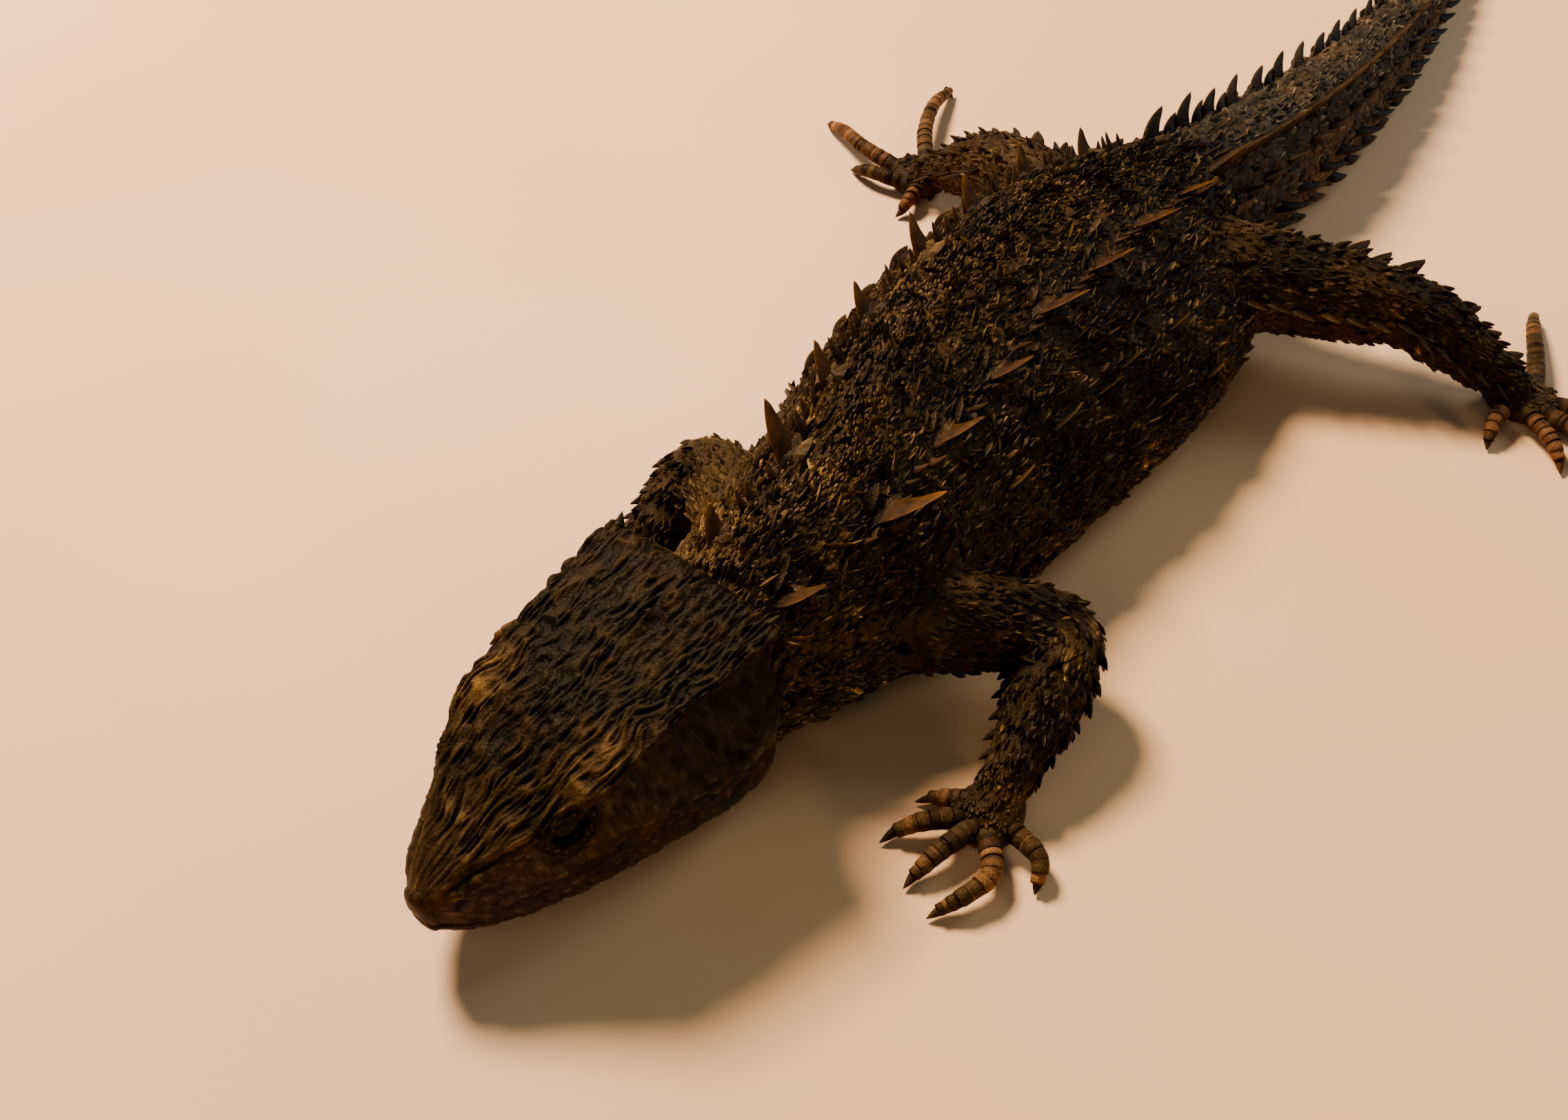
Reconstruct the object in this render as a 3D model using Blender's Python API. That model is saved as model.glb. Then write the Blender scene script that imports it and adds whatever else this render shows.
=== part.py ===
"""Crocodile skink with a spiny back, a life-size still model that rests on its belly.

Sizes are in millimetres below and become metres where a mesh is made.
+X runs towards the head, +Y to the animal's left and +Z up, with the floor at zero.
"""

import math
import random

import bmesh
import bpy
from mathutils import Matrix, Vector

MM = 0.001
WELD = 0.000002

# How far the boxes reach that part the pieces
REACH = 40.0
LIMB_REACH = 14.0

# The gap that is kept between two pieces that touch
GAP = 0.3

# Trunk and tail, one row a station, from the nape back to the tip of the tail:
# x, y of the middle, y of the ridge of the back, half width, belly height, back height
TRUNK = (
    (37.5, -4.4, -4.2, 6.6, 1.4, 11.6),
    (32.0, -3.4, -2.6, 7.4, 1.0, 13.0),
    (26.5, -2.0, -1.2, 8.6, 0.4, 15.0),
    (20.0, -0.9, -0.4, 10.1, -0.2, 16.4),
    (12.0, 0.0, -1.9, 11.4, -0.4, 17.0),
    (3.0, 0.4, -2.9, 12.3, -0.5, 17.4),
    (-6.0, 1.0, -2.7, 13.3, -0.5, 17.3),
    (-14.0, 1.8, -2.3, 13.3, -0.4, 16.8),
    (-21.0, 2.1, -0.9, 12.4, -0.3, 15.8),
    (-27.0, 2.0, 0.5, 10.0, 0.3, 14.2),
    (-33.0, 2.6, 1.9, 7.3, 0.4, 12.8),
    (-41.0, 4.2, 3.6, 5.9, 0.1, 11.4),
    (-55.0, 6.1, 5.8, 5.0, -0.2, 9.6),
    (-72.0, 7.2, 7.0, 3.9, -0.2, 7.4),
    (-90.0, 6.6, 6.6, 2.8, -0.2, 5.2),
    (-108.0, 4.4, 4.4, 1.8, -0.2, 3.2),
    (-124.0, 1.4, 1.4, 0.65, -0.15, 1.3),
)
TRUNK_SIDES = 24
WIDEST = 0.38
ROOF_POWER = 1.30
TAIL_POWER = 0.95
BELLY_POWER = 0.62

# The lengths that the trunk and tail are divided into: front and back end, and ring spacing
LENGTHS = (
    ("neck", 37.5, 24.3, 2.6),
    ("chest", 24.3, 7.9, 2.8),
    ("belly", 7.9, -14.9, 3.3),
    ("rump", -14.9, -30.0, 3.0),
    ("tail_1", -30.0, -50.0, 3.4),
    ("tail_2", -50.0, -70.0, 4.0),
    ("tail_3", -70.0, -95.0, 5.0),
    ("tail_4", -95.0, -124.0, 6.0),
)

# Fins of the back, one row a pair: place along the trunk, distance from the ridge, and share
# of the full height. Each side has its own splay from upright, in degrees
FINS = (
    (27.6, 3.6, 0.55),
    (19.4, 4.3, 1.0),
    (11.6, 5.0, 0.64),
    (4.2, 5.6, 0.60),
    (-3.8, 5.4, 0.80),
    (-11.2, 5.8, 0.64),
    (-18.7, 5.4, 0.64),
    (-25.8, 4.4, 0.60),
)
FIN_HEIGHT = 3.7
FIN_LENGTH = 3.6
FIN_WIDTH = 1.3
FIN_LEAN = 0.5
FIN_SINK = 1.4
FIN_BULGE = 1.0
FIN_SPLAY = {1: 64.0, -1: 50.0}

# Teeth that stand between two fins
TEETH_PLACES = (0.36, 0.64)
TOOTH_HEIGHT = 1.0
TOOTH_LENGTH = 1.6
TOOTH_WIDTH = 0.9
TOOTH_SINK = 0.7

# Crests of the back: the count of low blades in each length, on two rows beside the ridge
CREST_COUNTS = {"neck": 2, "chest": 5, "belly": 7, "rump": 5}
CREST_OFFSET = 2.1
CREST_HEIGHT = 1.3
CREST_LENGTH = 3.2
CREST_WIDTH = 1.3
CREST_LEAN = 1.2
CREST_SINK = 0.8
CREST_FRONT = 30.6

# Small spines of the flanks: rows as distance round from the ridge, and count a length
FLANK_TURNS = (0.155, 0.215)
FLANK_COUNTS = {"neck": 2, "chest": 4, "belly": 5, "rump": 3}
FLANK_HEIGHT = 1.3
FLANK_LENGTH = 2.2
FLANK_WIDTH = 1.3
FLANK_LEAN = 0.9
FLANK_SINK = 0.8

# Keeled plates of the tail: rows as turns from the back, height as a share of the half width
TAIL_TURNS = (0.085, 0.235)
TAIL_COUNTS = {"tail_1": 5, "tail_2": 5, "tail_3": 7, "tail_4": 8}
TAIL_RISE = 0.42
TAIL_LEAST = 0.55
TAIL_FOOT = 0.62
TAIL_BREADTH = 0.34
TAIL_LEAN = 0.9

# Head: its tip, the way it turns, and one row a station, measured back from the tip:
# distance, crown height, crown half width, edge height, groove half width and height,
# upper lip half width, mouth height, lower lip half width and height, jaw edge half width,
# jaw height
HEAD_TIP = (57.3, -6.7)
HEAD_TURN = -7.4
HEAD = (
    (0.0, 7.4, 0.9, 7.0, 1.3, 6.2, 1.5, 4.7, 1.3, 3.9, 0.8, 3.2),
    (1.3, 8.6, 2.0, 8.2, 2.5, 7.0, 2.9, 4.6, 2.7, 3.6, 1.8, 2.4),
    (4.0, 10.0, 3.3, 9.6, 3.6, 8.0, 4.4, 4.4, 4.1, 3.2, 2.9, 1.5),
    (7.0, 11.6, 5.3, 11.3, 4.4, 9.2, 5.5, 4.4, 5.3, 3.0, 3.8, 0.9),
    (10.0, 13.0, 6.4, 12.6, 5.1, 10.0, 6.5, 4.6, 6.3, 3.0, 4.6, 0.5),
    (13.0, 13.9, 6.6, 13.4, 5.5, 10.6, 7.3, 5.0, 7.1, 3.2, 5.2, 0.2),
    (17.0, 14.7, 6.8, 14.2, 5.9, 11.2, 8.3, 5.7, 8.3, 3.6, 6.0, -0.1),
    (20.5, 15.3, 7.1, 14.7, 6.3, 11.6, 9.1, 6.4, 9.1, 4.2, 6.6, -0.1),
    (22.6, 15.6, 7.3, 15.0, 6.5, 11.8, 9.3, 6.8, 9.2, 4.6, 6.8, 0.1),
)
HEAD_RINGS = 19
HEAD_SIDES = 32
SNOUT_CAP = 0.55

# Casque: the plate that stands over the nape, as distance back, half width, crown and edge
# heights, with knobs along its edges and a point at each rear corner
CASQUE = (
    (18.5, 6.9, 14.9, 14.3),
    (21.5, 7.3, 15.5, 14.8),
    (24.6, 7.5, 15.9, 15.1),
)
CASQUE_THICK = 1.9
KNOBS_SIDE = 6
KNOBS_BACK = 4
KNOB_SIZE = (1.4, 0.85, 0.65)
KNOB_INSET = 0.35
CORNER_SIZE = (1.9, 1.7, 2.3, 1.6)

# Eyes with their lids, nostrils, ears and the slit of the mouth, placed from the head's tip
EYE_BACK = 8.3
EYE_OUT = 3.65
EYE_HEIGHT = 9.5
EYE_RADIUS = 1.7
EYE_LOOK = (0.22, 0.95, 0.18)
LID_SWELL = (2.9, 1.8, 2.0)
LID_RADIUS = 0.44
LID_CLEAR = 2.3
LID_REACH = 1.95
LID_OPEN = (1.3, -1.15)
LID_POINTS = 7
NOSTRIL = (1.4, 2.15, 6.9, 0.42)
EAR = (19.8, 8.75, 9.0, 1.5)
EAR_DEPTH = 1.1
MOUTH_CORNER = 17.6

# Limbs: joints of each limb from its root out, as centre and radius
LIMBS = {
    "arm_l": (((22.6, 4.5, 6.4), 4.3), ((16.2, 16.6, 5.7), 2.9), ((27.0, 17.9, 2.9), 2.0)),
    "arm_r": (((22.5, -6.0, 7.2), 3.8), ((17.6, -13.4, 7.0), 2.8), ((27.0, -14.2, 2.9), 1.8)),
    "leg_l": (((-23.0, 4.0, 7.2), 4.6), ((-29.0, 24.3, 6.8), 3.2), ((-29.8, 32.6, 3.0), 2.0)),
    "leg_r": (((-23.0, -2.0, 7.2), 4.6), ((-27.2, -12.6, 7.7), 3.3), ((-29.6, -20.0, 3.0), 2.0)),
}
LIMB_NAMES = {
    "arm_l": ("upper_arm_l", "forearm_l", "hand_l"),
    "arm_r": ("upper_arm_r", "forearm_r", "hand_r"),
    "leg_l": ("thigh_l", "shank_l", "foot_l"),
    "leg_r": ("thigh_r", "shank_r", "foot_r"),
}
FORE_SWELL = (1.05, 1.22)
HIND_SWELL = (1.12, 1.08)
LIMB_SIDES = 12
LIMB_TURNS = (-0.25, -0.08, 0.08, 0.25)
UPPER_SHARES = (0.62, 0.76, 0.9)
LOWER_SHARES = (0.12, 0.32, 0.52, 0.72)
FORE_SPINE = 0.9
HIND_SPINE = 1.6
LIMB_SPINE_WIDTH = 1.2
LIMB_SPINE_SINK = 0.6
LIMB_SPINE_LEAN = 0.8

# Hands and feet: centre, half length, half width and turn of the palm, and for each digit
# its points from the palm out to the last joint, the tip of its claw, and how high it arches
PALM_HEIGHT = 1.35
DIGIT_RADIUS = 0.78
DIGIT_ROOT = 1.25
DIGIT_END = 0.65
CLAW_RADIUS = 0.52
CLAW_TIP = 0.25
FEET = {
    "arm_l": {
        "palm": ((29.9, 17.9), 2.9, 2.7, 5.0),
        "digits": (
            (((29.8, 16.0), (30.4, 13.9)), (31.6, 12.3), 0.5),
            (((31.0, 16.6), (32.9, 14.5), (34.2, 13.1)), (35.9, 12.3), 0.5),
            (((31.6, 17.4), (34.2, 16.6), (36.4, 15.9)), (38.0, 15.6), 0.5),
            (((31.5, 18.7), (33.8, 20.2), (36.0, 19.6), (37.6, 18.6)), (39.0, 17.7), 0.5),
            (((30.2, 19.8), (31.1, 22.2), (32.4, 22.9)), (33.6, 23.2), 0.5),
        ),
    },
    "arm_r": {
        "palm": ((29.9, -14.8), 2.9, 2.6, -8.0),
        "digits": (
            (((30.0, -13.2), (31.4, -11.6)), (32.6, -10.8), 0.5),
            (((31.4, -13.8), (33.6, -12.8), (35.0, -12.4)), (36.4, -12.2), 0.5),
            (((31.7, -14.9), (34.4, -15.1), (36.4, -15.3)), (38.0, -15.5), 0.5),
            (((31.4, -15.8), (33.4, -17.4), (34.9, -18.8), (35.8, -19.5)), (36.9, -20.3), 0.5),
            (((29.8, -16.6), (30.2, -17.6), (31.0, -17.9)), (32.0, -18.1), 0.5),
        ),
    },
    "leg_l": {
        "palm": ((-30.3, 35.0), 3.2, 2.9, 100.0),
        "digits": (
            (((-28.2, 34.2), (-26.2, 34.0), (-24.6, 34.2)), (-23.2, 34.6), 0.5),
            (((-28.6, 36.0), (-26.6, 38.3), (-25.2, 39.8)), (-23.6, 40.6), 0.5),
            (((-29.4, 37.2), (-28.4, 40.6), (-27.4, 43.6), (-26.6, 45.2)), (-25.6, 46.6), 0.5),
            (((-30.8, 37.4), (-31.4, 41.4), (-31.6, 45.4), (-31.4, 48.0)), (-30.8, 49.8), 0.5),
            (((-32.4, 35.4), (-35.8, 34.4), (-39.4, 33.2), (-42.0, 32.6)), (-43.8, 32.3), 0.5),
        ),
    },
    "leg_r": {
        "palm": ((-29.8, -22.6), 3.2, 2.9, -108.0),
        "digits": (
            (((-27.8, -21.6), (-26.0, -21.2), (-24.8, -21.4)), (-23.6, -21.8), 0.5),
            (((-28.0, -23.6), (-27.6, -26.4), (-28.0, -28.2)), (-28.5, -29.8), 0.5),
            (((-29.6, -24.8), (-30.2, -28.8), (-31.8, -32.0), (-33, -34.2)), (-34, -35.8), 0.8),
            (((-32, -23), (-35.2, -25.0), (-40.0, -26.8), (-44.6, -27.6)), (-44.4, -26.8), 1.2),
            (((-32.2, -22.2), (-36.2, -20.2), (-40.6, -18.8)), (-42.7, -18.4), 0.7),
        ),
    },
}

# Colours of the solids
COLOURS = {
    "head": (0.16, 0.11, 0.05, 1.0),
    "trunk": (0.055, 0.04, 0.025, 1.0),
    "limb": (0.06, 0.042, 0.03, 1.0),
    "eye": (0.01, 0.008, 0.006, 1.0),
}
SKIN_ROUGHNESS = 0.55
EYE_ROUGHNESS = 0.08

SEED = 5


def clear_scene():
    """Remove what the scene holds, so that the script can be run again."""
    for old in list(bpy.data.objects):
        bpy.data.objects.remove(old, do_unlink=True)


def new_collection(name):
    """Add a collection to the scene."""
    group = bpy.data.collections.new(name)
    bpy.context.scene.collection.children.link(group)
    return group


def to_object(bm, name, group):
    """Turn a bmesh whose sizes are in millimetres into an object in metres."""
    bmesh.ops.scale(bm, vec=(MM, MM, MM), verts=bm.verts)
    mesh = bpy.data.meshes.new(name)
    bm.to_mesh(mesh)
    bm.free()
    piece = bpy.data.objects.new(name, mesh)
    group.objects.link(piece)
    return piece


def evaluated_mesh(piece):
    """Return a new mesh with the object's modifiers worked out."""
    depsgraph = bpy.context.evaluated_depsgraph_get()
    return bpy.data.meshes.new_from_object(piece.evaluated_get(depsgraph))


def apply_modifiers(piece):
    """Put the result of the modifiers into the object's own mesh."""
    mesh = evaluated_mesh(piece)
    piece.modifiers.clear()
    old = piece.data
    piece.data = mesh
    bpy.data.meshes.remove(old)


def remove(piece):
    """Remove an object with its mesh."""
    data = piece.data
    bpy.data.objects.remove(piece, do_unlink=True)
    bpy.data.meshes.remove(data)


def keep_largest(piece):
    """Keep only the closed surface that holds the most faces' area."""
    bm = bmesh.new()
    bm.from_mesh(piece.data)
    bmesh.ops.remove_doubles(bm, verts=bm.verts, dist=WELD)
    left = set(bm.faces)
    shells = []
    while left:
        shell = {left.pop()}
        edge_of_shell = list(shell)
        while edge_of_shell:
            face = edge_of_shell.pop()
            for edge in face.edges:
                for other in edge.link_faces:
                    if other in left:
                        left.discard(other)
                        shell.add(other)
                        edge_of_shell.append(other)
        shells.append(shell)
    shells.sort(key=lambda faces: sum(face.calc_area() for face in faces))
    for shell in shells[:-1]:
        bmesh.ops.delete(bm, geom=list(shell), context="FACES")
    bm.to_mesh(piece.data)
    bm.free()


def boolean(piece, operation, others, solver="EXACT"):
    """Join or cut an object with a collection of closed meshes, which are then removed."""
    group = bpy.data.collections.new("operands")
    bpy.context.scene.collection.children.link(group)
    for other in others:
        for holder in list(other.users_collection):
            holder.objects.unlink(other)
        group.objects.link(other)
    step = piece.modifiers.new(operation.lower(), "BOOLEAN")
    step.operation = operation
    step.operand_type = "COLLECTION"
    step.collection = group
    step.solver = solver
    apply_modifiers(piece)
    for other in others:
        remove(other)
    bpy.data.collections.remove(group)
    keep_largest(piece)


def loft(rings, name, group):
    """Join closed rings of points, which have equal counts, and close both ends."""
    bm = bmesh.new()
    loops = [[bm.verts.new(point) for point in ring] for ring in rings]
    for first, second in zip(loops, loops[1:]):
        for i in range(len(first)):
            j = (i + 1) % len(first)
            bm.faces.new((first[i], first[j], second[j], second[i]))
    bm.faces.new(reversed(loops[0]))
    bm.faces.new(loops[-1])
    bmesh.ops.recalc_face_normals(bm, faces=bm.faces)
    return to_object(bm, name, group)


def tube(points, radii, sides, name, group):
    """A tapering tube along points, made from a curve and closed at its ends."""
    curve = bpy.data.curves.new(name, "CURVE")
    curve.dimensions = "3D"
    curve.bevel_depth = MM
    curve.bevel_resolution = (sides - 4) // 2
    curve.use_fill_caps = True
    spline = curve.splines.new("POLY")
    spline.points.add(len(points) - 1)
    for knot, place, radius in zip(spline.points, points, radii):
        knot.co = (place[0] * MM, place[1] * MM, place[2] * MM, 1.0)
        knot.radius = radius
    holder = bpy.data.objects.new(name, curve)
    group.objects.link(holder)
    mesh = evaluated_mesh(holder)
    bpy.data.objects.remove(holder, do_unlink=True)
    bpy.data.curves.remove(curve)
    bm = bmesh.new()
    bm.from_mesh(mesh)
    bmesh.ops.remove_doubles(bm, verts=bm.verts, dist=0.00001)
    bmesh.ops.recalc_face_normals(bm, faces=bm.faces)
    bm.to_mesh(mesh)
    bm.free()
    piece = bpy.data.objects.new(name, mesh)
    group.objects.link(piece)
    return piece


def ball(centre, radii, turn, name, group, segments=12, rings=8):
    """A ball stretched along three axes and turned about Z."""
    bm = bmesh.new()
    bmesh.ops.create_uvsphere(bm, u_segments=segments, v_segments=rings, radius=1.0)
    stretch = Matrix.Diagonal((*radii, 1.0))
    spin = Matrix.Rotation(math.radians(turn), 4, "Z")
    bmesh.ops.transform(bm, matrix=Matrix.Translation(centre) @ spin @ stretch, verts=bm.verts)
    return to_object(bm, name, group)


def box(low, high, name, group):
    """A box between two corners."""
    bm = bmesh.new()
    bmesh.ops.create_cube(bm, size=1.0)
    low, high = Vector(low), Vector(high)
    size = Matrix.Diagonal((*(high - low), 1.0))
    place = Matrix.Translation((low + high) / 2)
    bmesh.ops.transform(bm, matrix=place @ size, verts=bm.verts)
    return to_object(bm, name, group)


def half_space(point, normal, reach, name, group):
    """A large box whose one face lies at a point and looks against the normal."""
    bm = bmesh.new()
    bmesh.ops.create_cube(bm, size=1.0)
    bmesh.ops.scale(bm, vec=(reach, reach, reach), verts=bm.verts)
    bmesh.ops.translate(bm, vec=(0.0, 0.0, reach / 2), verts=bm.verts)
    turn = Vector(normal).to_track_quat("Z", "Y").to_matrix().to_4x4()
    bmesh.ops.transform(bm, matrix=Matrix.Translation(point) @ turn, verts=bm.verts)
    return to_object(bm, name, group)


def spine(root, up, along, size, shape, name, group):
    """A pointed spine: a cone with a long narrow foot, bent back towards along.

    The size is its height, the length and width of its foot, and its depth below the root.
    The shape is its lean, its bulge, its count of sides and its count of cuts.
    """
    height, length, width, sink = size
    lean, bulge, sides, cuts = shape
    bm = bmesh.new()
    bmesh.ops.create_cone(bm, cap_ends=True, segments=sides, radius1=1.0, radius2=0.0, depth=1.0)
    bmesh.ops.translate(bm, vec=(0.0, 0.0, 0.5), verts=bm.verts)
    for k in range(cuts):
        level = (k + 1) / (cuts + 1)
        geometry = list(bm.verts) + list(bm.edges) + list(bm.faces)
        bmesh.ops.bisect_plane(bm, geom=geometry, plane_co=(0, 0, level), plane_no=(0, 0, 1))
    up = Vector(up).normalized()
    along = Vector(along)
    along = (along - up * along.dot(up)).normalized()
    side = up.cross(along)
    for vert in bm.verts:
        level = vert.co.z
        rise = -sink + level * (height + sink)
        bend = lean * height * max(0.0, rise / height) ** 1.5
        swell = 1.0 + bulge * level
        place = Vector(root) + up * rise + along * (vert.co.x * length / 2 * swell + bend)
        vert.co = place + side * (vert.co.y * width / 2 * swell)
    bmesh.ops.recalc_face_normals(bm, faces=bm.faces)
    return to_object(bm, name, group)


def curve_value(table, column, at):
    """Read one column of a table at a place along it, on a smooth curve through its rows."""
    count = len(table)
    step = 1 if table[-1][0] > table[0][0] else -1
    i = 0
    while i < count - 2 and (at - table[i + 1][0]) * step > 0:
        i += 1
    low, high = table[i], table[i + 1]
    before, after = table[max(i - 1, 0)], table[min(i + 2, count - 1)]
    span = high[0] - low[0]
    t = (at - low[0]) / span
    slope_low = (high[column] - before[column]) / (high[0] - before[0]) * span
    slope_high = (after[column] - low[column]) / (after[0] - low[0]) * span
    square, cube = t * t, t * t * t
    return (
        low[column] * (2 * cube - 3 * square + 1)
        + slope_low * (cube - 2 * square + t)
        + high[column] * (3 * square - 2 * cube)
        + slope_high * (cube - square)
    )


def signed_power(value, power):
    """Raise a value to a power and keep its sign."""
    return math.copysign(abs(value) ** power, value)


def trunk_point(x, turn, grow=0.0):
    """A point of the trunk or tail: turn 0 is the back, 0.25 the left side, 0.5 the belly."""
    middle = curve_value(TRUNK, 1, x)
    ridge = curve_value(TRUNK, 2, x)
    half = curve_value(TRUNK, 3, x) + grow
    belly = curve_value(TRUNK, 4, x) - grow
    back = curve_value(TRUNK, 5, x) + grow
    slope = (curve_value(TRUNK, 1, x + 0.5) - curve_value(TRUNK, 1, x - 0.5))
    across = Vector((-slope, 1.0, 0.0)).normalized()
    widest = belly + (back - belly) * WIDEST
    tail = min(1.0, max(0.0, (-25.0 - x) / 20.0))
    roof = ROOF_POWER + (TAIL_POWER - ROOF_POWER) * tail
    angle = 2 * math.pi * turn
    if math.cos(angle) >= 0:
        share = signed_power(math.cos(angle), roof)
        height = widest + (back - widest) * share
        offset = half * signed_power(math.sin(angle), roof) + (ridge - middle) * share
    else:
        height = widest + (widest - belly) * signed_power(math.cos(angle), BELLY_POWER)
        offset = half * signed_power(math.sin(angle), BELLY_POWER)
    return Vector((x, middle, height)) + across * offset


def trunk_frame(x, turn):
    """The point of the trunk with the way out of it and the way back along it."""
    here = trunk_point(x, turn)
    back = (trunk_point(x - 1.0, turn) - trunk_point(x + 1.0, turn)).normalized()
    around = trunk_point(x, turn + 0.01) - trunk_point(x, turn - 0.01)
    out = around.cross(back).normalized()
    middle = Vector((x, curve_value(TRUNK, 1, x), curve_value(TRUNK, 5, x) * 0.4))
    if out.dot(here - middle) < 0:
        out = -out
    return here, out, back


def trunk_length(name, front, rear, step, group, grow=0.0):
    """One length of the trunk or tail as a loft with flat ends."""
    steps = max(2, round((front - rear) / step))
    rings = []
    for i in range(steps + 1):
        x = front + (rear - front) * i / steps
        rings.append([trunk_point(x, k / TRUNK_SIDES, grow) for k in range(TRUNK_SIDES)])
    return loft(rings, name, group)


def head_place(back, out, height):
    """A point of the head, from its tip: how far back, how far to the left, and its height."""
    turn = math.radians(HEAD_TURN)
    ahead = Vector((math.cos(turn), math.sin(turn), 0.0))
    left = Vector((-math.sin(turn), math.cos(turn), 0.0))
    return Vector((*HEAD_TIP, 0.0)) - ahead * back + left * out + Vector((0, 0, height))


def head_ring(back, shrink=1.0):
    """One section of the head, from the crown down the left side, and up the right one."""
    value = [curve_value(HEAD, column, back) for column in range(len(HEAD[0]))]
    _, crown, edge_w, edge_z, groove_w, groove_z = value[:6]
    lip_w, mouth_z, low_w, low_z, jaw_w, jaw_z = value[6:]
    keys = (
        (0.0, crown),
        (edge_w * 0.62, crown * 0.99),
        (edge_w, edge_z),
        (groove_w + 0.15, groove_z * 0.55 + edge_z * 0.45),
        (groove_w, groove_z),
        (lip_w * 0.96, mouth_z + 1.7),
        (lip_w, mouth_z + 0.5),
        (low_w, low_z + 0.3),
        (jaw_w * 1.08, jaw_z + 0.9),
        (jaw_w * 0.6, jaw_z),
        (0.0, jaw_z),
    )
    quarter = HEAD_SIDES // 2
    half = []
    for i in range(quarter + 1):
        place = i * (len(keys) - 1) / quarter
        k = min(int(place), len(keys) - 2)
        share = place - k
        half.append(tuple(a + (b - a) * share for a, b in zip(keys[k], keys[k + 1])))
    middle = (crown + jaw_z) / 2
    ring = [head_place(back, w * shrink, middle + (z - middle) * shrink) for w, z in half]
    for w, z in reversed(half[1:-1]):
        ring.append(head_place(back, -w * shrink, middle + (z - middle) * shrink))
    return ring


def head_way(ahead, left, up):
    """A direction given along the head, to its left and up."""
    start = head_place(0.0, 0.0, 0.0)
    return (head_place(-ahead, left, up) - start).normalized()


def casque_plate(group):
    """The plate that reaches back over the nape."""
    rings = []
    for back, half, crown, edge in CASQUE:
        low = crown - CASQUE_THICK
        side = [(0.0, crown), (half * 0.6, crown - 0.1), (half, edge), (half * 0.92, edge - 0.9)]
        side += [(half * 0.55, low), (0.0, low)]
        ring = [head_place(back, out, height) for out, height in side]
        ring += [head_place(back, -out, height) for out, height in reversed(side[1:-1])]
        rings.append(ring)
    return loft(rings, "casque", group)


def casque_knobs(group, rng):
    """Rounded knobs along the sides and the back of the casque, with pointed rear corners."""
    knobs = []
    length, width, height = KNOB_SIZE
    first, last = HEAD[4][0] + 1.2, CASQUE[-1][0] - 0.8
    for side in (1, -1):
        for k in range(KNOBS_SIDE):
            back = first + (last - first) * k / (KNOBS_SIDE - 1)
            if back < CASQUE[0][0]:
                out, edge = curve_value(HEAD, 2, back), curve_value(HEAD, 3, back)
            else:
                out, edge = curve_value(CASQUE, 1, back), curve_value(CASQUE, 3, back)
            grow = rng.uniform(0.88, 1.12)
            place = head_place(back, side * (out - KNOB_INSET), edge - 0.1)
            radii = (length * grow, width * grow, height * grow)
            knobs.append(ball(place, radii, HEAD_TURN - side * 4, "knob", group, 7, 5))
        rear, half, _, edge = CASQUE[-1]
        corner = head_place(rear - 0.4, side * (half - 0.7), edge - 0.3)
        way = head_way(-1.0, side * 0.45, 0.12)
        up = head_way(0.0, 0.0, 1.0)
        knobs.append(spine(corner, way, up, CORNER_SIZE, (0.0, 0.3, 6, 1), "corner", group))
    for k in range(KNOBS_BACK):
        share = (k + 0.5) / KNOBS_BACK * 2 - 1
        out = share * (CASQUE[-1][1] - 0.9)
        grow = rng.uniform(0.88, 1.12)
        place = head_place(CASQUE[-1][0] - 0.35 * (1 - abs(share)), out, CASQUE[-1][2] - 0.75)
        radii = (width * grow, length * grow, height * grow)
        knobs.append(ball(place, radii, HEAD_TURN, "knob", group, 7, 5))
    return knobs


def eye_centre(side):
    """The middle of an eye: side 1 is the left one, -1 the right one."""
    return head_place(EYE_BACK, side * EYE_OUT, EYE_HEIGHT)


def lid_pieces(side, group):
    """The swelling round an eye, and the upper and lower lid as tapered bows on it."""
    centre = eye_centre(side)
    look = head_way(EYE_LOOK[0], side * EYE_LOOK[1], EYE_LOOK[2])
    ahead = head_way(1.0, 0.0, 0.0)
    ahead = (ahead - look * ahead.dot(look)).normalized()
    up = look.cross(ahead) * side
    if up.z < 0:
        up = -up
    pieces = [ball(centre, LID_SWELL, HEAD_TURN, "lid_swell", group, 12, 8)]
    for opening in LID_OPEN:
        points, sizes = [], []
        for k in range(LID_POINTS):
            angle = math.pi * k / (LID_POINTS - 1)
            along = math.cos(angle) * LID_REACH
            over = math.sin(angle) * opening
            out = math.sqrt(LID_CLEAR ** 2 - along ** 2 - over ** 2)
            points.append(centre + ahead * along + up * over + look * out)
            sizes.append(LID_RADIUS * (0.6 + 0.4 * math.sin(angle)))
        pieces.append(tube(points, sizes, 6, "lid", group))
    return pieces


def mouth_region(low_gap, corner, group):
    """All that lies under the line of the mouth, from ahead of the snout back to its corner."""
    rings = []
    steps = 14
    for i in range(steps + 1):
        back = -3.0 + (corner + 3.0) * i / steps
        height = curve_value(HEAD, 7, max(0.0, back)) + low_gap
        corners = ((14.0, height), (14.0, -6.0), (-14.0, -6.0), (-14.0, height))
        rings.append([head_place(back, out, z) for out, z in corners])
    return loft(rings, "mouth_region", group)


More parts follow.
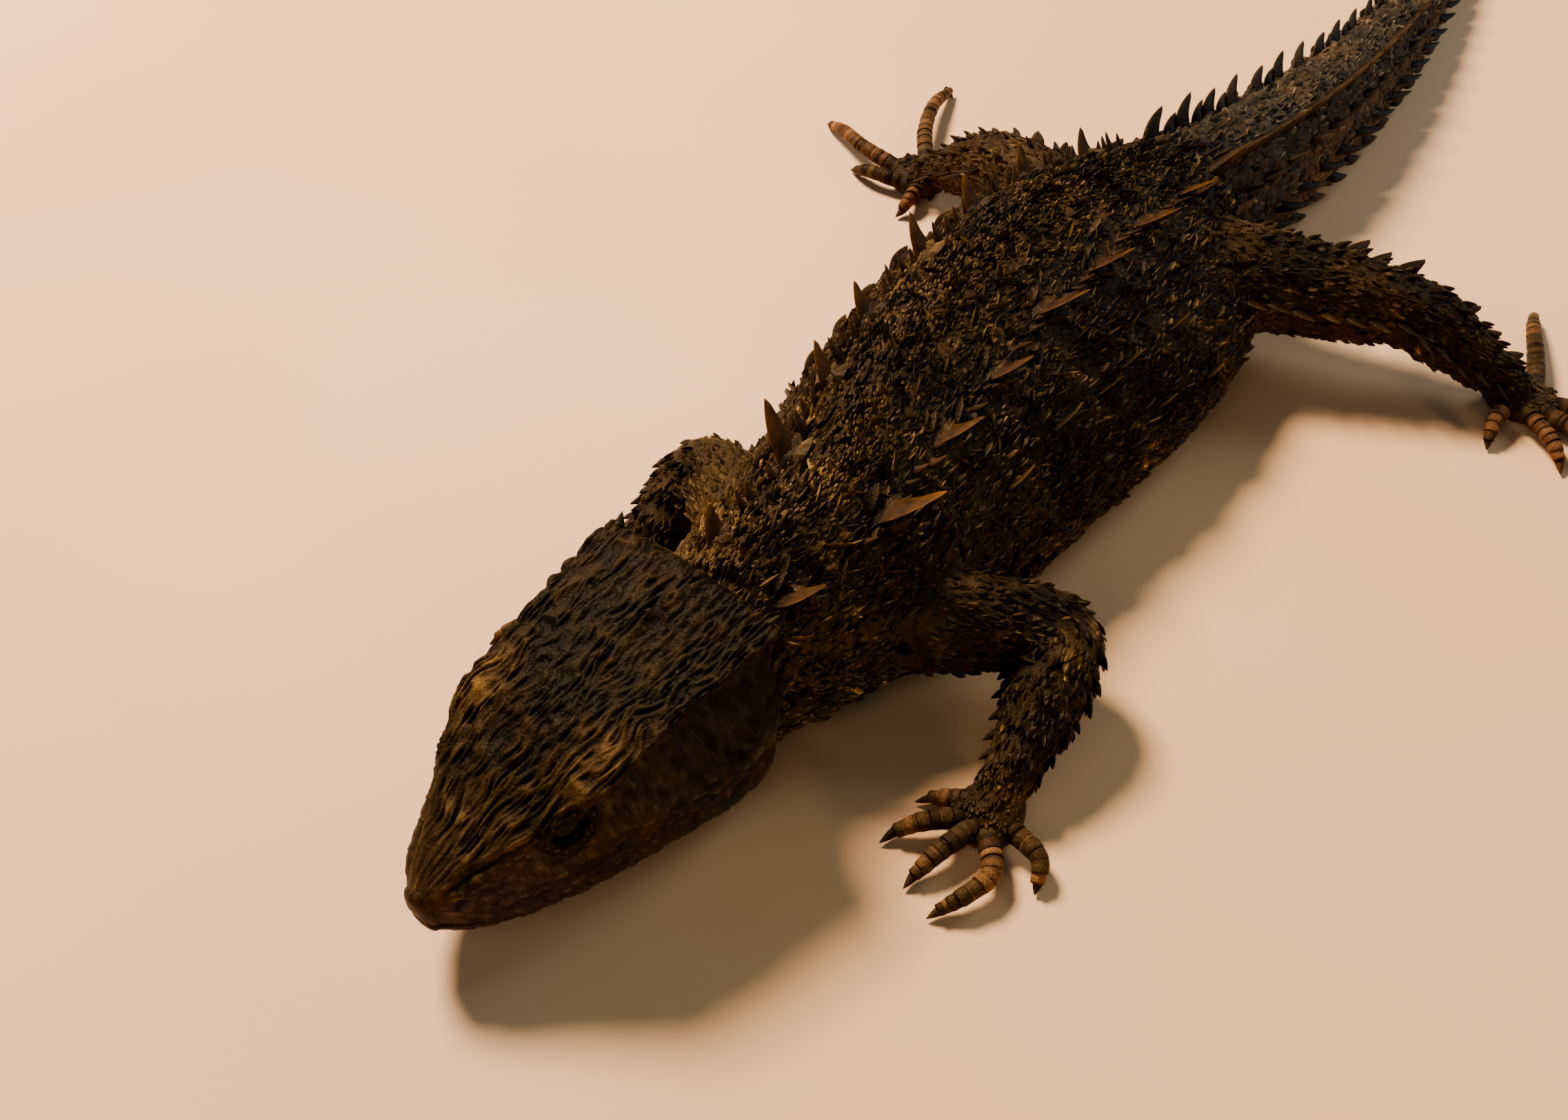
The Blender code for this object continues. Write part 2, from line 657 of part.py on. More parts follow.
def make_head(parts, cutters, rng):
    """The head with its casque, lids, sockets, nostrils and ears, and the lower jaw cut free."""
    rings = [head_ring(0.0, SNOUT_CAP)]
    forward = head_way(1.0, 0.0, 0.0)
    rings[0] = [point + forward * SNOUT_CAP for point in rings[0]]
    for i in range(HEAD_RINGS + 1):
        rings.append(head_ring(HEAD[-1][0] * (i / HEAD_RINGS)))
    head = loft(rings, "head", parts)
    pieces = [casque_plate(cutters)] + casque_knobs(cutters, rng)
    for side in (1, -1):
        pieces += lid_pieces(side, cutters)
    boolean(head, "UNION", pieces)
    cuts = [box((-200, -100, -20), (100, 100, 0), "below_floor", cutters)]
    back, out, height, radius = NOSTRIL
    ear_back, ear_out, ear_height, ear_radius = EAR
    socket = EYE_RADIUS + GAP
    for side in (1, -1):
        pit = head_place(back, side * out, height)
        ear = head_place(ear_back, side * ear_out, ear_height)
        pit_radii = (radius * 1.3, radius, radius)
        ear_radii = (ear_radius, EAR_DEPTH, ear_radius * 1.2)
        cuts.append(ball(eye_centre(side), (socket,) * 3, 0, "socket", cutters, 16, 12))
        cuts.append(ball(pit, pit_radii, -30 * side, "pit", cutters, 8, 6))
        cuts.append(ball(ear, ear_radii, 0, "ear", cutters, 12, 8))
    boolean(head, "DIFFERENCE", cuts, "MANIFOLD")
    jaw = bpy.data.objects.new("lower_jaw", head.data.copy())
    parts.objects.link(jaw)
    boolean(jaw, "INTERSECT", [mouth_region(-GAP / 2, MOUTH_CORNER - GAP / 2, cutters)])
    boolean(head, "DIFFERENCE", [mouth_region(GAP / 2, MOUTH_CORNER + GAP / 2, cutters)])
    for side, name in ((1, "eye_l"), (-1, "eye_r")):
        ball(eye_centre(side), (EYE_RADIUS,) * 3, 0, name, parts, 14, 10)


def cut_floor(piece, cutters):
    """Cut away whatever lies below the floor, which leaves the flat that the piece rests on."""
    floor = box((-200, -100, -20), (100, 100, 0), "below_floor", cutters)
    boolean(piece, "DIFFERENCE", [floor])


def turn_at(x, offset):
    """The turn round the back at which the trunk lies this far to the side of its ridge."""
    half = curve_value(TRUNK, 3, x)
    share = min(1.0, abs(offset) / half) ** (1 / ROOF_POWER)
    return math.copysign(math.asin(share) / (2 * math.pi), offset)


def even_places(front, rear, count):
    """Places spread evenly between two ends, half a step clear of both."""
    step = (rear - front) / count
    return [front + step * (k + 0.5) for k in range(count)]


def near_limb(point, reach):
    """Whether a point lies closer to the root of a limb than reach beyond its surface."""
    for joints in LIMBS.values():
        (start, start_radius), (end, end_radius) = joints[0], joints[1]
        start, end = Vector(start), Vector(end)
        share = (point - start).dot(end - start) / (end - start).length_squared
        share = min(1.0, max(0.0, share))
        radius = start_radius + (end_radius - start_radius) * share
        if (point - start.lerp(end, share)).length < radius + reach:
            return True
    return False


def fins_and_teeth(front, rear, side, group, rng):
    """One side's row of fins in one length of the trunk, with the teeth between them."""
    pieces = []
    splay = math.radians(FIN_SPLAY[side])
    rise = Vector((0.0, side * math.sin(splay), math.cos(splay)))
    for x, offset, growth in FINS:
        if rear < x < front:
            root, out, back = trunk_frame(x, turn_at(x, side * offset))
            height = FIN_HEIGHT * growth * rng.uniform(0.95, 1.05)
            length = FIN_LENGTH * (0.4 + 0.6 * growth)
            size = (height, length, FIN_WIDTH, FIN_SINK)
            shape = (FIN_LEAN, FIN_BULGE, 6, 2)
            pieces.append(spine(root, out * 0.3 + rise * 0.7, back, size, shape, "fin", group))
    for (first, near, _), (second, far, _) in zip(FINS[1:], FINS[2:]):
        for share in TEETH_PLACES:
            x = first + (second - first) * share
            if rear + TOOTH_LENGTH < x < front - TOOTH_LENGTH:
                offset = near + (far - near) * share + 0.4
                root, out, back = trunk_frame(x, turn_at(x, side * offset))
                height = TOOTH_HEIGHT * rng.uniform(0.8, 1.2)
                size = (height, TOOTH_LENGTH, TOOTH_WIDTH, TOOTH_SINK)
                shape = (FIN_LEAN, 0.3, 4, 0)
                way = out * 0.3 + rise * 0.7
                pieces.append(spine(root, way, back, size, shape, "tooth", group))
    return pieces


def back_spines(name, front, rear, group, rng):
    """The fins, crests and flank spines of one length of the trunk."""
    pieces = []
    for side in (1, -1):
        pieces += fins_and_teeth(front, rear, side, group, rng)
        for x in even_places(min(front, CREST_FRONT), rear, CREST_COUNTS[name]):
            root, out, back = trunk_frame(x, turn_at(x, side * CREST_OFFSET))
            height = CREST_HEIGHT * rng.uniform(0.85, 1.15)
            size = (height, CREST_LENGTH, CREST_WIDTH, CREST_SINK)
            pieces.append(spine(root, out, back, size, (CREST_LEAN, 0.3, 5, 0), "crest", group))
        for row, turn in enumerate(FLANK_TURNS):
            for x in even_places(min(front, CREST_FRONT + 2.0), rear, FLANK_COUNTS[name]):
                root, out, back = trunk_frame(x, side * turn)
                if near_limb(root, 1.6):
                    continue
                height = FLANK_HEIGHT * rng.uniform(0.85, 1.15) * (1.0 - 0.15 * row)
                size = (height, FLANK_LENGTH, FLANK_WIDTH, FLANK_SINK)
                shape = (FLANK_LEAN, 0.3, 4, 0)
                pieces.append(spine(root, out, back, size, shape, "flank_spine", group))
    return pieces


def tail_spines(name, front, rear, group, rng):
    """The keeled plates along one length of the tail, in two rows a side."""
    pieces = []
    count = TAIL_COUNTS[name]
    for x in even_places(front, rear, count):
        half = curve_value(TRUNK, 3, x)
        length = min((front - rear) / count * 0.8, half * TAIL_FOOT)
        for turn in TAIL_TURNS:
            for side in (1, -1):
                root, out, back = trunk_frame(x, side * turn)
                height = max(TAIL_LEAST, half * TAIL_RISE) * rng.uniform(0.92, 1.08)
                size = (height, length, half * TAIL_BREADTH, min(0.9, half * 0.3))
                pieces.append(spine(root, out, back, size, (TAIL_LEAN, 0.3, 4, 0), "plate", group))
    return pieces


def make_trunk(parts, cutters, rng):
    """The neck, the trunk in three lengths and the tail in four, flat along the floor."""
    for name, front, rear, step in LENGTHS:
        piece = trunk_length(name, front - GAP / 2, rear + GAP / 2, step, parts)
        if name in CREST_COUNTS:
            boolean(piece, "UNION", back_spines(name, front, rear, cutters, rng))
        else:
            boolean(piece, "UNION", tail_spines(name, front, rear, cutters, rng))
        cut_floor(piece, cutters)
        if name == "neck":
            behind_head = head_place(HEAD[-1][0] + GAP, 0.0, 8.0)
            ahead = head_way(1.0, 0.0, 0.0)
            head_side = half_space(behind_head, ahead, REACH, "head_side", cutters)
            boolean(piece, "DIFFERENCE", [head_side])


def limb_profile(start, end, swell, round_start, round_end):
    """Points and radii along one length of a limb, rounded where it meets a joint."""
    (start, start_radius), (end, end_radius) = start, end
    start, end = Vector(start), Vector(end)
    way = (end - start).normalized()
    points, radii = [], []
    if round_start:
        for beyond, size in ((0.92, 0.35), (0.6, 0.78)):
            points.append(start - way * start_radius * beyond)
            radii.append(start_radius * size)
    for share in (0.0, 0.25, 0.5, 0.75, 1.0):
        points.append(start.lerp(end, share))
        plain = start_radius + (end_radius - start_radius) * share
        radii.append(plain * (1.0 + (swell - 1.0) * math.sin(math.pi * share)))
    if round_end:
        for beyond, size in ((0.6, 0.78), (0.92, 0.35)):
            points.append(end + way * end_radius * beyond)
            radii.append(end_radius * size)
    return points, radii


def limb_spines(start, end, swell, shares, height, group, rng):
    """Pointed scales that stand round one length of a limb and lean towards its end."""
    (start, start_radius), (end, end_radius) = start, end
    start, end = Vector(start), Vector(end)
    way = (end - start).normalized()
    top = (Vector((0, 0, 1)) - way * way.z).normalized()
    side = way.cross(top)
    pieces = []
    for share in shares:
        plain = start_radius + (end_radius - start_radius) * share
        radius = plain * (1.0 + (swell - 1.0) * math.sin(math.pi * share))
        for turn in LIMB_TURNS:
            angle = 2 * math.pi * turn
            out = top * math.cos(angle) + side * math.sin(angle)
            root = start.lerp(end, share) + out * radius * 0.95
            size = height * rng.uniform(0.85, 1.15)
            size = (size, size * 1.3 + 0.5, LIMB_SPINE_WIDTH, LIMB_SPINE_SINK)
            shape = (LIMB_SPINE_LEAN, 0.3, 4, 0)
            pieces.append(spine(root, out, way, size, shape, "limb_spine", group))
    return pieces


def joint_cutters(before, joint, after, group):
    """Two boxes that part a limb at a joint, one for the length before it, one for after it."""
    before, joint, after = Vector(before), Vector(joint), Vector(after)
    normal = ((joint - before).normalized() + (after - joint).normalized()).normalized()
    first = half_space(joint - normal * GAP / 2, normal, LIMB_REACH, "beyond_joint", group)
    second = half_space(joint + normal * GAP / 2, -normal, LIMB_REACH, "before_joint", group)
    return first, second


def palm_middle(limb):
    """The middle of the palm of a hand or foot, where the wrist and the digits meet."""
    x, y = FEET[limb]["palm"][0]
    return Vector((x, y, PALM_HEIGHT - 0.2))


def digit_pieces(places, tip, rise, middle, group):
    """One digit as a tube that arches from the palm, with the claw at its end."""
    path, sizes = [], []
    for k, (x, y) in enumerate(places):
        share = k / (len(places) - 1)
        arch = rise * math.sin(math.pi * min(1.0, share * 0.9 + 0.1))
        path.append(Vector((x, y, DIGIT_ROOT + (DIGIT_END - DIGIT_ROOT) * share + arch)))
        sizes.append(DIGIT_RADIUS * (1.12 - 0.3 * share))
    path.insert(0, path[0].lerp(middle, 0.45))
    sizes.insert(0, DIGIT_RADIUS)
    knuckle = path[-1]
    path.append(knuckle + (knuckle - path[-2]).normalized() * 0.45)
    sizes.append(sizes[-1] * 0.45)
    way = Vector((*tip, CLAW_TIP)) - knuckle
    size = (way.length, CLAW_RADIUS * 2, CLAW_RADIUS * 1.8, 0.3)
    claw = spine(knuckle, way, Vector((0, 0, -1)), size, (0.0, 0.3, 6, 0), "claw", group)
    return [tube(path, sizes, 8, "digit", group), claw]


def make_foot(name, limb, group, parts):
    """A palm with five digits, each with a claw."""
    (x, y), half_length, half_width, turn = FEET[limb]["palm"]
    radii = (half_length, half_width, PALM_HEIGHT)
    palm = ball((x, y, PALM_HEIGHT - 0.3), radii, turn, name, parts, 14, 8)
    wrist, radius = LIMBS[limb][2]
    wrist, middle = Vector(wrist), palm_middle(limb)
    start = wrist + (wrist - middle).normalized() * 1.2
    path = [start, wrist, wrist.lerp(middle, 0.5), middle]
    pieces = [tube(path, [radius, radius, radius * 0.95, 0.9], LIMB_SIDES, "wrist", group)]
    for places, tip, rise in FEET[limb]["digits"]:
        pieces += digit_pieces(places, tip, rise, middle, group)
    boolean(palm, "UNION", pieces)
    return palm


def make_limb(limb, parts, cutters, rng):
    """One limb: its upper and lower length and its foot, parted at the joints."""
    upper_name, lower_name, foot_name = LIMB_NAMES[limb]
    root, joint, end = LIMBS[limb]
    hind = limb.startswith("leg")
    upper_swell, lower_swell = HIND_SWELL if hind else FORE_SWELL
    height = HIND_SPINE if hind else FORE_SPINE

    points, radii = limb_profile(root, joint, upper_swell, False, True)
    upper = tube(points, radii, LIMB_SIDES, upper_name, parts)
    spines = limb_spines(root, joint, upper_swell, UPPER_SHARES, height, cutters, rng)
    boolean(upper, "UNION", spines)
    points, radii = limb_profile(joint, end, lower_swell, True, True)
    lower = tube(points, radii, LIMB_SIDES, lower_name, parts)
    spines = limb_spines(joint, end, lower_swell, LOWER_SHARES, height, cutters, rng)
    boolean(lower, "UNION", spines)
    foot = make_foot(foot_name, limb, cutters, parts)

    past_elbow, before_elbow = joint_cutters(root[0], joint[0], end[0], cutters)
    past_wrist, before_wrist = joint_cutters(joint[0], end[0], palm_middle(limb), cutters)
    trunk = trunk_length("trunk_grown", 37.0, -48.0, 3.0, cutters, GAP)
    boolean(upper, "DIFFERENCE", [past_elbow, trunk])
    floor = box((-200, -100, -20), (100, 100, 0), "below_floor", cutters)
    boolean(lower, "DIFFERENCE", [before_elbow, past_wrist, floor], "MANIFOLD")
    boolean(foot, "DIFFERENCE", [before_wrist])
    cut_floor(foot, cutters)


def give_material(piece, colour, roughness):
    """Give a piece a material of its own."""
    material = bpy.data.materials.new(piece.name)
    material.use_nodes = True
    shader = material.node_tree.nodes["Principled BSDF"]
    shader.inputs["Base Color"].default_value = colour
    shader.inputs["Roughness"].default_value = roughness
    shader.inputs["Metallic"].default_value = 0.0
    piece.data.materials.clear()
    piece.data.materials.append(material)


def main():
    rng = random.Random(SEED)
    clear_scene()
    parts = new_collection("crocodile_skink")
    cutters = new_collection("cutters")
    make_head(parts, cutters, rng)
    make_trunk(parts, cutters, rng)
    for limb in LIMBS:
        make_limb(limb, parts, cutters, rng)
    for piece in parts.objects:
        kind = "trunk"
        if piece.name.startswith("eye"):
            kind = "eye"
        elif piece.name in ("head", "lower_jaw"):
            kind = "head"
        give_material(piece, COLOURS[kind], EYE_ROUGHNESS if kind == "eye" else SKIN_ROUGHNESS)


main()
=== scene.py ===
"""Looks of the crocodile skink: skin, scales, fins, lids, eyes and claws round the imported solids.

Sizes are in millimetres until a mesh is made. +X runs towards the head, +Y to the animal's
left and +Z up, with the floor at zero, as in the solids.
"""

import math

import bpy
import numpy as np
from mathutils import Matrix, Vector
from mathutils.bvhtree import BVHTree


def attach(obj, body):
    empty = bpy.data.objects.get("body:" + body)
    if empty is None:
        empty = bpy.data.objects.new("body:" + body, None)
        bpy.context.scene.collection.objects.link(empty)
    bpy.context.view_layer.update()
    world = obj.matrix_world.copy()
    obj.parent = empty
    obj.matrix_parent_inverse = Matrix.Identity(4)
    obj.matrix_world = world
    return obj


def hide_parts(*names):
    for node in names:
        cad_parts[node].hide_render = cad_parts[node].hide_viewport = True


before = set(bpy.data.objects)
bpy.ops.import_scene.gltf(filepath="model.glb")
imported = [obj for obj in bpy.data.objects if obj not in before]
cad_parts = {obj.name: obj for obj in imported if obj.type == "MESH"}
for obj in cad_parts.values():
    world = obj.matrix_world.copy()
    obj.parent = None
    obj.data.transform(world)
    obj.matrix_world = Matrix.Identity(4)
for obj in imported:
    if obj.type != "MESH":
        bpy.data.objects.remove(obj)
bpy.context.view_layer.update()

MM = 0.001
SEED = 11
rng = np.random.default_rng(SEED)

# Sizes repeated from the solids
# Trunk: x, y of the middle, y of the ridge, half width, belly height, back height
TRUNK = np.array((
    (37.5, -4.4, -4.2, 6.6, 1.4, 11.6),
    (32.0, -3.4, -2.6, 7.4, 1.0, 13.0),
    (26.5, -2.0, -1.2, 8.6, 0.4, 15.0),
    (20.0, -0.9, -0.4, 10.1, -0.2, 16.4),
    (12.0, 0.0, -1.9, 11.4, -0.4, 17.0),
    (3.0, 0.4, -2.9, 12.3, -0.5, 17.4),
    (-6.0, 1.0, -2.7, 13.3, -0.5, 17.3),
    (-14.0, 1.8, -2.3, 13.3, -0.4, 16.8),
    (-21.0, 2.1, -0.9, 12.4, -0.3, 15.8),
    (-27.0, 2.0, 0.5, 10.0, 0.3, 14.2),
    (-33.0, 2.6, 1.9, 7.3, 0.4, 12.8),
    (-41.0, 4.2, 3.6, 5.9, 0.1, 11.4),
    (-55.0, 6.1, 5.8, 5.0, -0.2, 9.6),
    (-72.0, 7.2, 7.0, 3.9, -0.2, 7.4),
    (-90.0, 6.6, 6.6, 2.8, -0.2, 5.2),
    (-108.0, 4.4, 4.4, 1.8, -0.2, 3.2),
    (-124.0, 1.4, 1.4, 0.65, -0.15, 1.3),
))
WIDEST = 0.38
ROOF_POWER = 1.30
TAIL_POWER = 0.95
BELLY_POWER = 0.62

# Fins, one row a pair: place along the trunk, distance from the ridge, share of full height
FINS = (
    (27.6, 3.6, 0.55),
    (19.4, 4.3, 1.0),
    (11.6, 5.0, 0.64),
    (4.2, 5.6, 0.60),
    (-3.8, 5.4, 0.80),
    (-11.2, 5.8, 0.64),
    (-18.7, 5.4, 0.64),
    (-25.8, 4.4, 0.60),
)
FIN_HEIGHT = 3.7
FIN_LENGTH = 3.6
FIN_SPLAY = {1: 64.0, -1: 50.0}

# Head: distance back from the tip, crown height, crown half width, edge height, groove half
# width and height, upper lip half width, mouth height, lower lip half width and height,
# jaw half width, jaw height. The last rows close it inside the neck
HEAD_TIP = (57.3, -6.7)
HEAD_TURN = math.radians(-7.4)
HEAD = np.array((
    (0.0, 7.4, 0.9, 7.0, 1.3, 6.2, 1.5, 4.7, 1.3, 3.9, 0.8, 3.2),
    (1.3, 8.6, 2.0, 8.2, 2.5, 7.0, 2.9, 4.6, 2.7, 3.6, 1.8, 2.4),
    (4.0, 10.0, 3.3, 9.6, 3.6, 8.0, 4.4, 4.4, 4.1, 3.2, 2.9, 1.5),
    (7.0, 11.6, 5.3, 11.3, 4.4, 9.2, 5.5, 4.4, 5.3, 3.0, 3.8, 0.9),
    (10.0, 13.0, 6.4, 12.6, 5.1, 10.0, 6.5, 4.6, 6.3, 3.0, 4.6, 0.5),
    (13.0, 13.9, 6.6, 13.4, 5.5, 10.6, 7.3, 5.0, 7.1, 3.2, 5.2, 0.2),
    (17.0, 14.7, 6.8, 14.2, 5.9, 11.2, 8.3, 5.7, 8.3, 3.6, 6.0, 0.1),
    (20.5, 15.3, 7.2, 14.7, 6.3, 11.6, 9.0, 6.4, 9.0, 4.2, 6.6, 0.1),
    (22.6, 15.6, 7.4, 15.0, 6.4, 11.7, 8.9, 6.9, 8.8, 4.8, 6.7, 0.5),
    (24.4, 15.9, 7.4, 15.0, 5.9, 11.9, 7.7, 7.4, 7.4, 5.6, 5.8, 1.6),
    (25.3, 14.9, 6.6, 14.0, 5.6, 11.5, 6.7, 7.6, 6.4, 6.0, 5.2, 2.4),
    (26.4, 12.4, 5.2, 11.6, 5.0, 10.0, 5.4, 7.6, 5.2, 6.2, 4.4, 3.4),
    (28.4, 10.4, 3.6, 9.8, 3.8, 8.8, 3.9, 7.4, 3.7, 6.4, 3.2, 5.0),
))
EYE_BACK = 8.3
EYE_OUT = 3.65
EYE_HEIGHT = 9.5
EYE_RADIUS = 1.7
EYE_LOOK = (0.22, 0.95, 0.18)
NOSTRIL = (1.4, 2.15, 6.9)
EAR = (19.8, 8.6, 9.0)

# Limbs: centre and radius at the root, the elbow or knee, and the wrist or ankle
LIMBS = {
    "arm_l": (((22.6, 4.5, 6.4), 4.3), ((16.2, 16.6, 5.7), 2.9), ((27.0, 17.9, 2.9), 2.0)),
    "arm_r": (((22.5, -6.0, 7.2), 3.8), ((17.6, -13.4, 7.0), 2.8), ((27.0, -14.2, 2.9), 1.8)),
    "leg_l": (((-23.0, 4.0, 7.2), 4.6), ((-29.0, 24.3, 6.8), 3.2), ((-29.8, 32.6, 3.0), 2.0)),
    "leg_r": (((-23.0, -2.0, 7.2), 4.6), ((-27.2, -12.6, 7.7), 3.3), ((-29.6, -20.0, 3.0), 2.0)),
}
FORE_SWELL = (1.05, 1.22)
HIND_SWELL = (1.12, 1.08)
PALM_HEIGHT = 1.35
DIGIT_RADIUS = 0.74
DIGIT_ROOT = 1.2
DIGIT_END = 0.75
FEET = {
    "arm_l": {
        "palm": ((29.9, 17.9), 2.9, 2.7, 5.0),
        "digits": (
            (((29.8, 16.0), (30.4, 13.9)), (31.6, 12.3), 0.5),
            (((31.0, 16.6), (32.9, 14.5), (34.2, 13.1)), (35.9, 12.3), 0.5),
            (((31.6, 17.4), (34.2, 16.6), (36.4, 15.9)), (38.0, 15.6), 0.5),
            (((31.5, 18.7), (33.8, 20.2), (36.0, 19.6), (37.6, 18.6)), (39.0, 17.7), 0.5),
            (((30.2, 19.8), (31.1, 22.2), (32.4, 22.9)), (33.6, 23.2), 0.5),
        ),
    },
    "arm_r": {
        "palm": ((29.9, -14.8), 2.9, 2.6, -8.0),
        "digits": (
            (((30.0, -13.2), (31.4, -11.6)), (32.6, -10.8), 0.5),
            (((31.4, -13.8), (33.6, -12.8), (35.0, -12.4)), (36.4, -12.2), 0.5),
            (((31.7, -14.9), (34.4, -15.1), (36.4, -15.3)), (38.0, -15.5), 0.5),
            (((31.4, -15.8), (33.4, -17.4), (34.9, -18.8), (35.8, -19.5)), (36.9, -20.3), 0.5),
            (((29.8, -16.6), (30.2, -17.6), (31.0, -17.9)), (32.0, -18.1), 0.5),
        ),
    },
    "leg_l": {
        "palm": ((-30.3, 35.0), 3.2, 2.9, 100.0),
        "digits": (
            (((-28.2, 34.2), (-26.2, 34.0), (-24.6, 34.2)), (-23.2, 34.6), 0.5),
            (((-28.6, 36.0), (-26.6, 38.3), (-25.2, 39.8)), (-23.6, 40.6), 0.5),
            (((-29.4, 37.2), (-28.4, 40.6), (-27.4, 43.6), (-26.6, 45.2)), (-25.6, 46.6), 0.5),
            (((-30.8, 37.4), (-31.4, 41.4), (-31.6, 45.4), (-31.4, 48.0)), (-30.8, 49.8), 0.5),
            (((-32.4, 35.4), (-35.8, 34.4), (-39.4, 33.2), (-42.0, 32.6)), (-43.8, 32.3), 0.5),
        ),
    },
    "leg_r": {
        "palm": ((-29.8, -22.6), 3.2, 2.9, -108.0),
        "digits": (
            (((-27.8, -21.6), (-26.0, -21.2), (-24.8, -21.4)), (-23.6, -21.8), 0.5),
            (((-28.0, -23.6), (-27.6, -26.4), (-28.0, -28.2)), (-28.5, -29.8), 0.5),
            (((-29.6, -24.8), (-30.2, -28.8), (-31.8, -32.0), (-33, -34.2)), (-34, -35.8), 0.8),
            (((-32, -23), (-35.2, -25.0), (-40.0, -26.8), (-44.6, -27.6)), (-44.4, -26.8), 1.2),
            (((-32.2, -22.2), (-36.2, -20.2), (-40.6, -18.8)), (-42.7, -18.4), 0.7),
        ),
    },
}

# How far the skin lies inside the solids, which is the depth of the coat of scales
COAT = 0.3

# Rings and sides of the trunk before it is fused with the limbs, and the width of a voxel
TRUNK_RINGS = 300
TRUNK_SIDES = 72
VOXEL = 0.50

# Steps from each key of a head section to the next, the pull of the curve, and the rings
HEAD_STEPS = (44, 46, 8, 7, 8, 7, 6, 6, 5, 4)
HEAD_TENSION = 0.35
HEAD_RINGS = 152

# Half width of the eye's opening, its heights above and below, and the reach of the lids
LID_OPEN = (1.32, 0.66, 0.62)
LID_OUTER = 2.95

# Lean of the tall fins to the rear and their thickness, for the left and the right row
FIN_BACK = {1: 0.08, -1: -0.05}
FIN_THICK = {1: 1.0, -1: 1.2}

# Share of their pitch by which scales stray from their rows, and steps along a limb's coat
JITTER = 0.4
LIMB_STEPS = 120

# Rows of thorns on a limb: turn round it from its top, and height
THORN_ROWS = ((-0.22, 1.0), (-0.11, 0.5), (0.0, 0.5), (0.11, 0.5), (0.22, 1.0))

# Points along the rear edge of the casque: distance from its middle, and size
CASQUE_POINTS = ((6.5, 0.6), (5.2, 0.45), (3.8, 0.45), (2.3, 0.4), (0.8, 0.35))

# Rows of the tail: turn round it, height, width; then stretches of it with their counts
TAIL_ROWS = ((0.085, 1.0, 1.0), (0.155, 0.55, 0.8), (0.235, 0.95, 1.0), (0.31, 0.6, 0.8))
TAIL_COUNTS = ((-30.0, -50.0, 5), (-50.0, -70.0, 5), (-70.0, -95.0, 7), (-95.0, -123.5, 9))

# Places of the parts on the map: left, low, width, height
CHARTS = {
    "trunk": (0.01, 0.01, 0.98, 0.44),
    "head": (0.01, 0.48, 0.40, 0.50),
    "arm_l": (0.43, 0.48, 0.13, 0.50),
    "arm_r": (0.57, 0.48, 0.13, 0.50),
    "leg_l": (0.71, 0.48, 0.13, 0.50),
    "leg_r": (0.85, 0.48, 0.13, 0.50),
}

# Nodes of flesh that the skin replaces
NODES = (
    "head", "lower_jaw", "neck", "chest", "belly", "rump", "tail_1", "tail_2", "tail_3", "tail_4",
    "upper_arm_l", "forearm_l", "hand_l", "upper_arm_r", "forearm_r", "hand_r",
    "thigh_l", "shank_l", "foot_l", "thigh_r", "shank_r", "foot_r",
)

# Camera: place, point that it looks at, and width of its view
CAMERA_PLACE = (89.33, 40.76, 95.72)
CAMERA_AIM = (17.39, -6.70, 0.0)
CAMERA_ANGLE = math.radians(50.0)

# Lamps: name, place, width, power, colour
LAMPS = (
    ("key", (-70, -250, 300), 120, 4.9, (1.0, 0.95, 0.88)),
    ("fill", (300, 40, 310), 300, 0.24, (0.84, 0.92, 1.0)),
    ("rim", (-320, 120, 220), 160, 0.55, (0.60, 0.82, 1.0)),
    ("side", (75, 300, 60), 32, 0.20, (1.0, 0.90, 0.76)),
)
LAMP_AIM = (10, 0, 0)
FLOOR_REACH = 3000
FLOOR_WARM = (0.84, 0.385, 0.125)
FLOOR_PALE = (0.86, 0.45, 0.20)
SKY = (0.16, 0.56, 1.0, 1.0)
SKY_POWER = 0.088

# Depths of the relief on body, neck, crown and head sides, and of the line of the mouth
BODY_DEPTH = 0.50
NECK_DEPTH = 0.3
CROWN_DEPTH = 0.36
SIDE_DEPTH = 0.32
MOUTH_DEPTH = 0.50
# Key term of a head section on which the mouth's line lies
MOUTH_TERM = 7.0
# Shares of the first section that close the snout, and how far it bulges
NOSE_SIZES = (0.18, 0.40, 0.60, 0.77, 0.89, 0.97)
NOSE_BULGE = 0.75
# Fineness of digits, eyes and lids: rings or points along, then sides
DIGIT_MESH = (42, 16)
EYE_MESH = (40, 56)
LID_MESH = (22, 96)
# Looks of scales and skin: grain, lowest roughness, brightness of the painted shade in hollows
# and of the painted highlights on ridges, bump
SCALE_LOOK = (5200.0, 0.14, 0.10, 2.4, 0.35)
SKIN_LOOK = (4600.0, 0.26, 0.04, 2.4, 0.35)
# Skin and scales are nearly black, so their gloss is weak and warm
SKIN_SPECULAR = 0.06
SKIN_GLOSS_TINT = (1.0, 0.50, 0.20, 1.0)
HORN_SPECULAR = 0.08
HORN_GLOSS_TINT = (1.0, 0.55, 0.25, 1.0)
EYE_SPECULAR = 0.14


# Noise
def lattice(cells, seed):
    """A repeatable number from 0 to 1 for each whole-number cell."""
    cells = cells.astype(np.int64)
    mix = cells[..., 0] * 73856093 ^ cells[..., 1] * 19349663 ^ cells[..., 2] * 83492791
    mix = mix ^ (seed * 2654435761)
    mix = (mix ^ (mix >> 13)) * 1274126177
    mix = mix ^ (mix >> 16)
    return (mix & 0xFFFFF) / float(0xFFFFF)


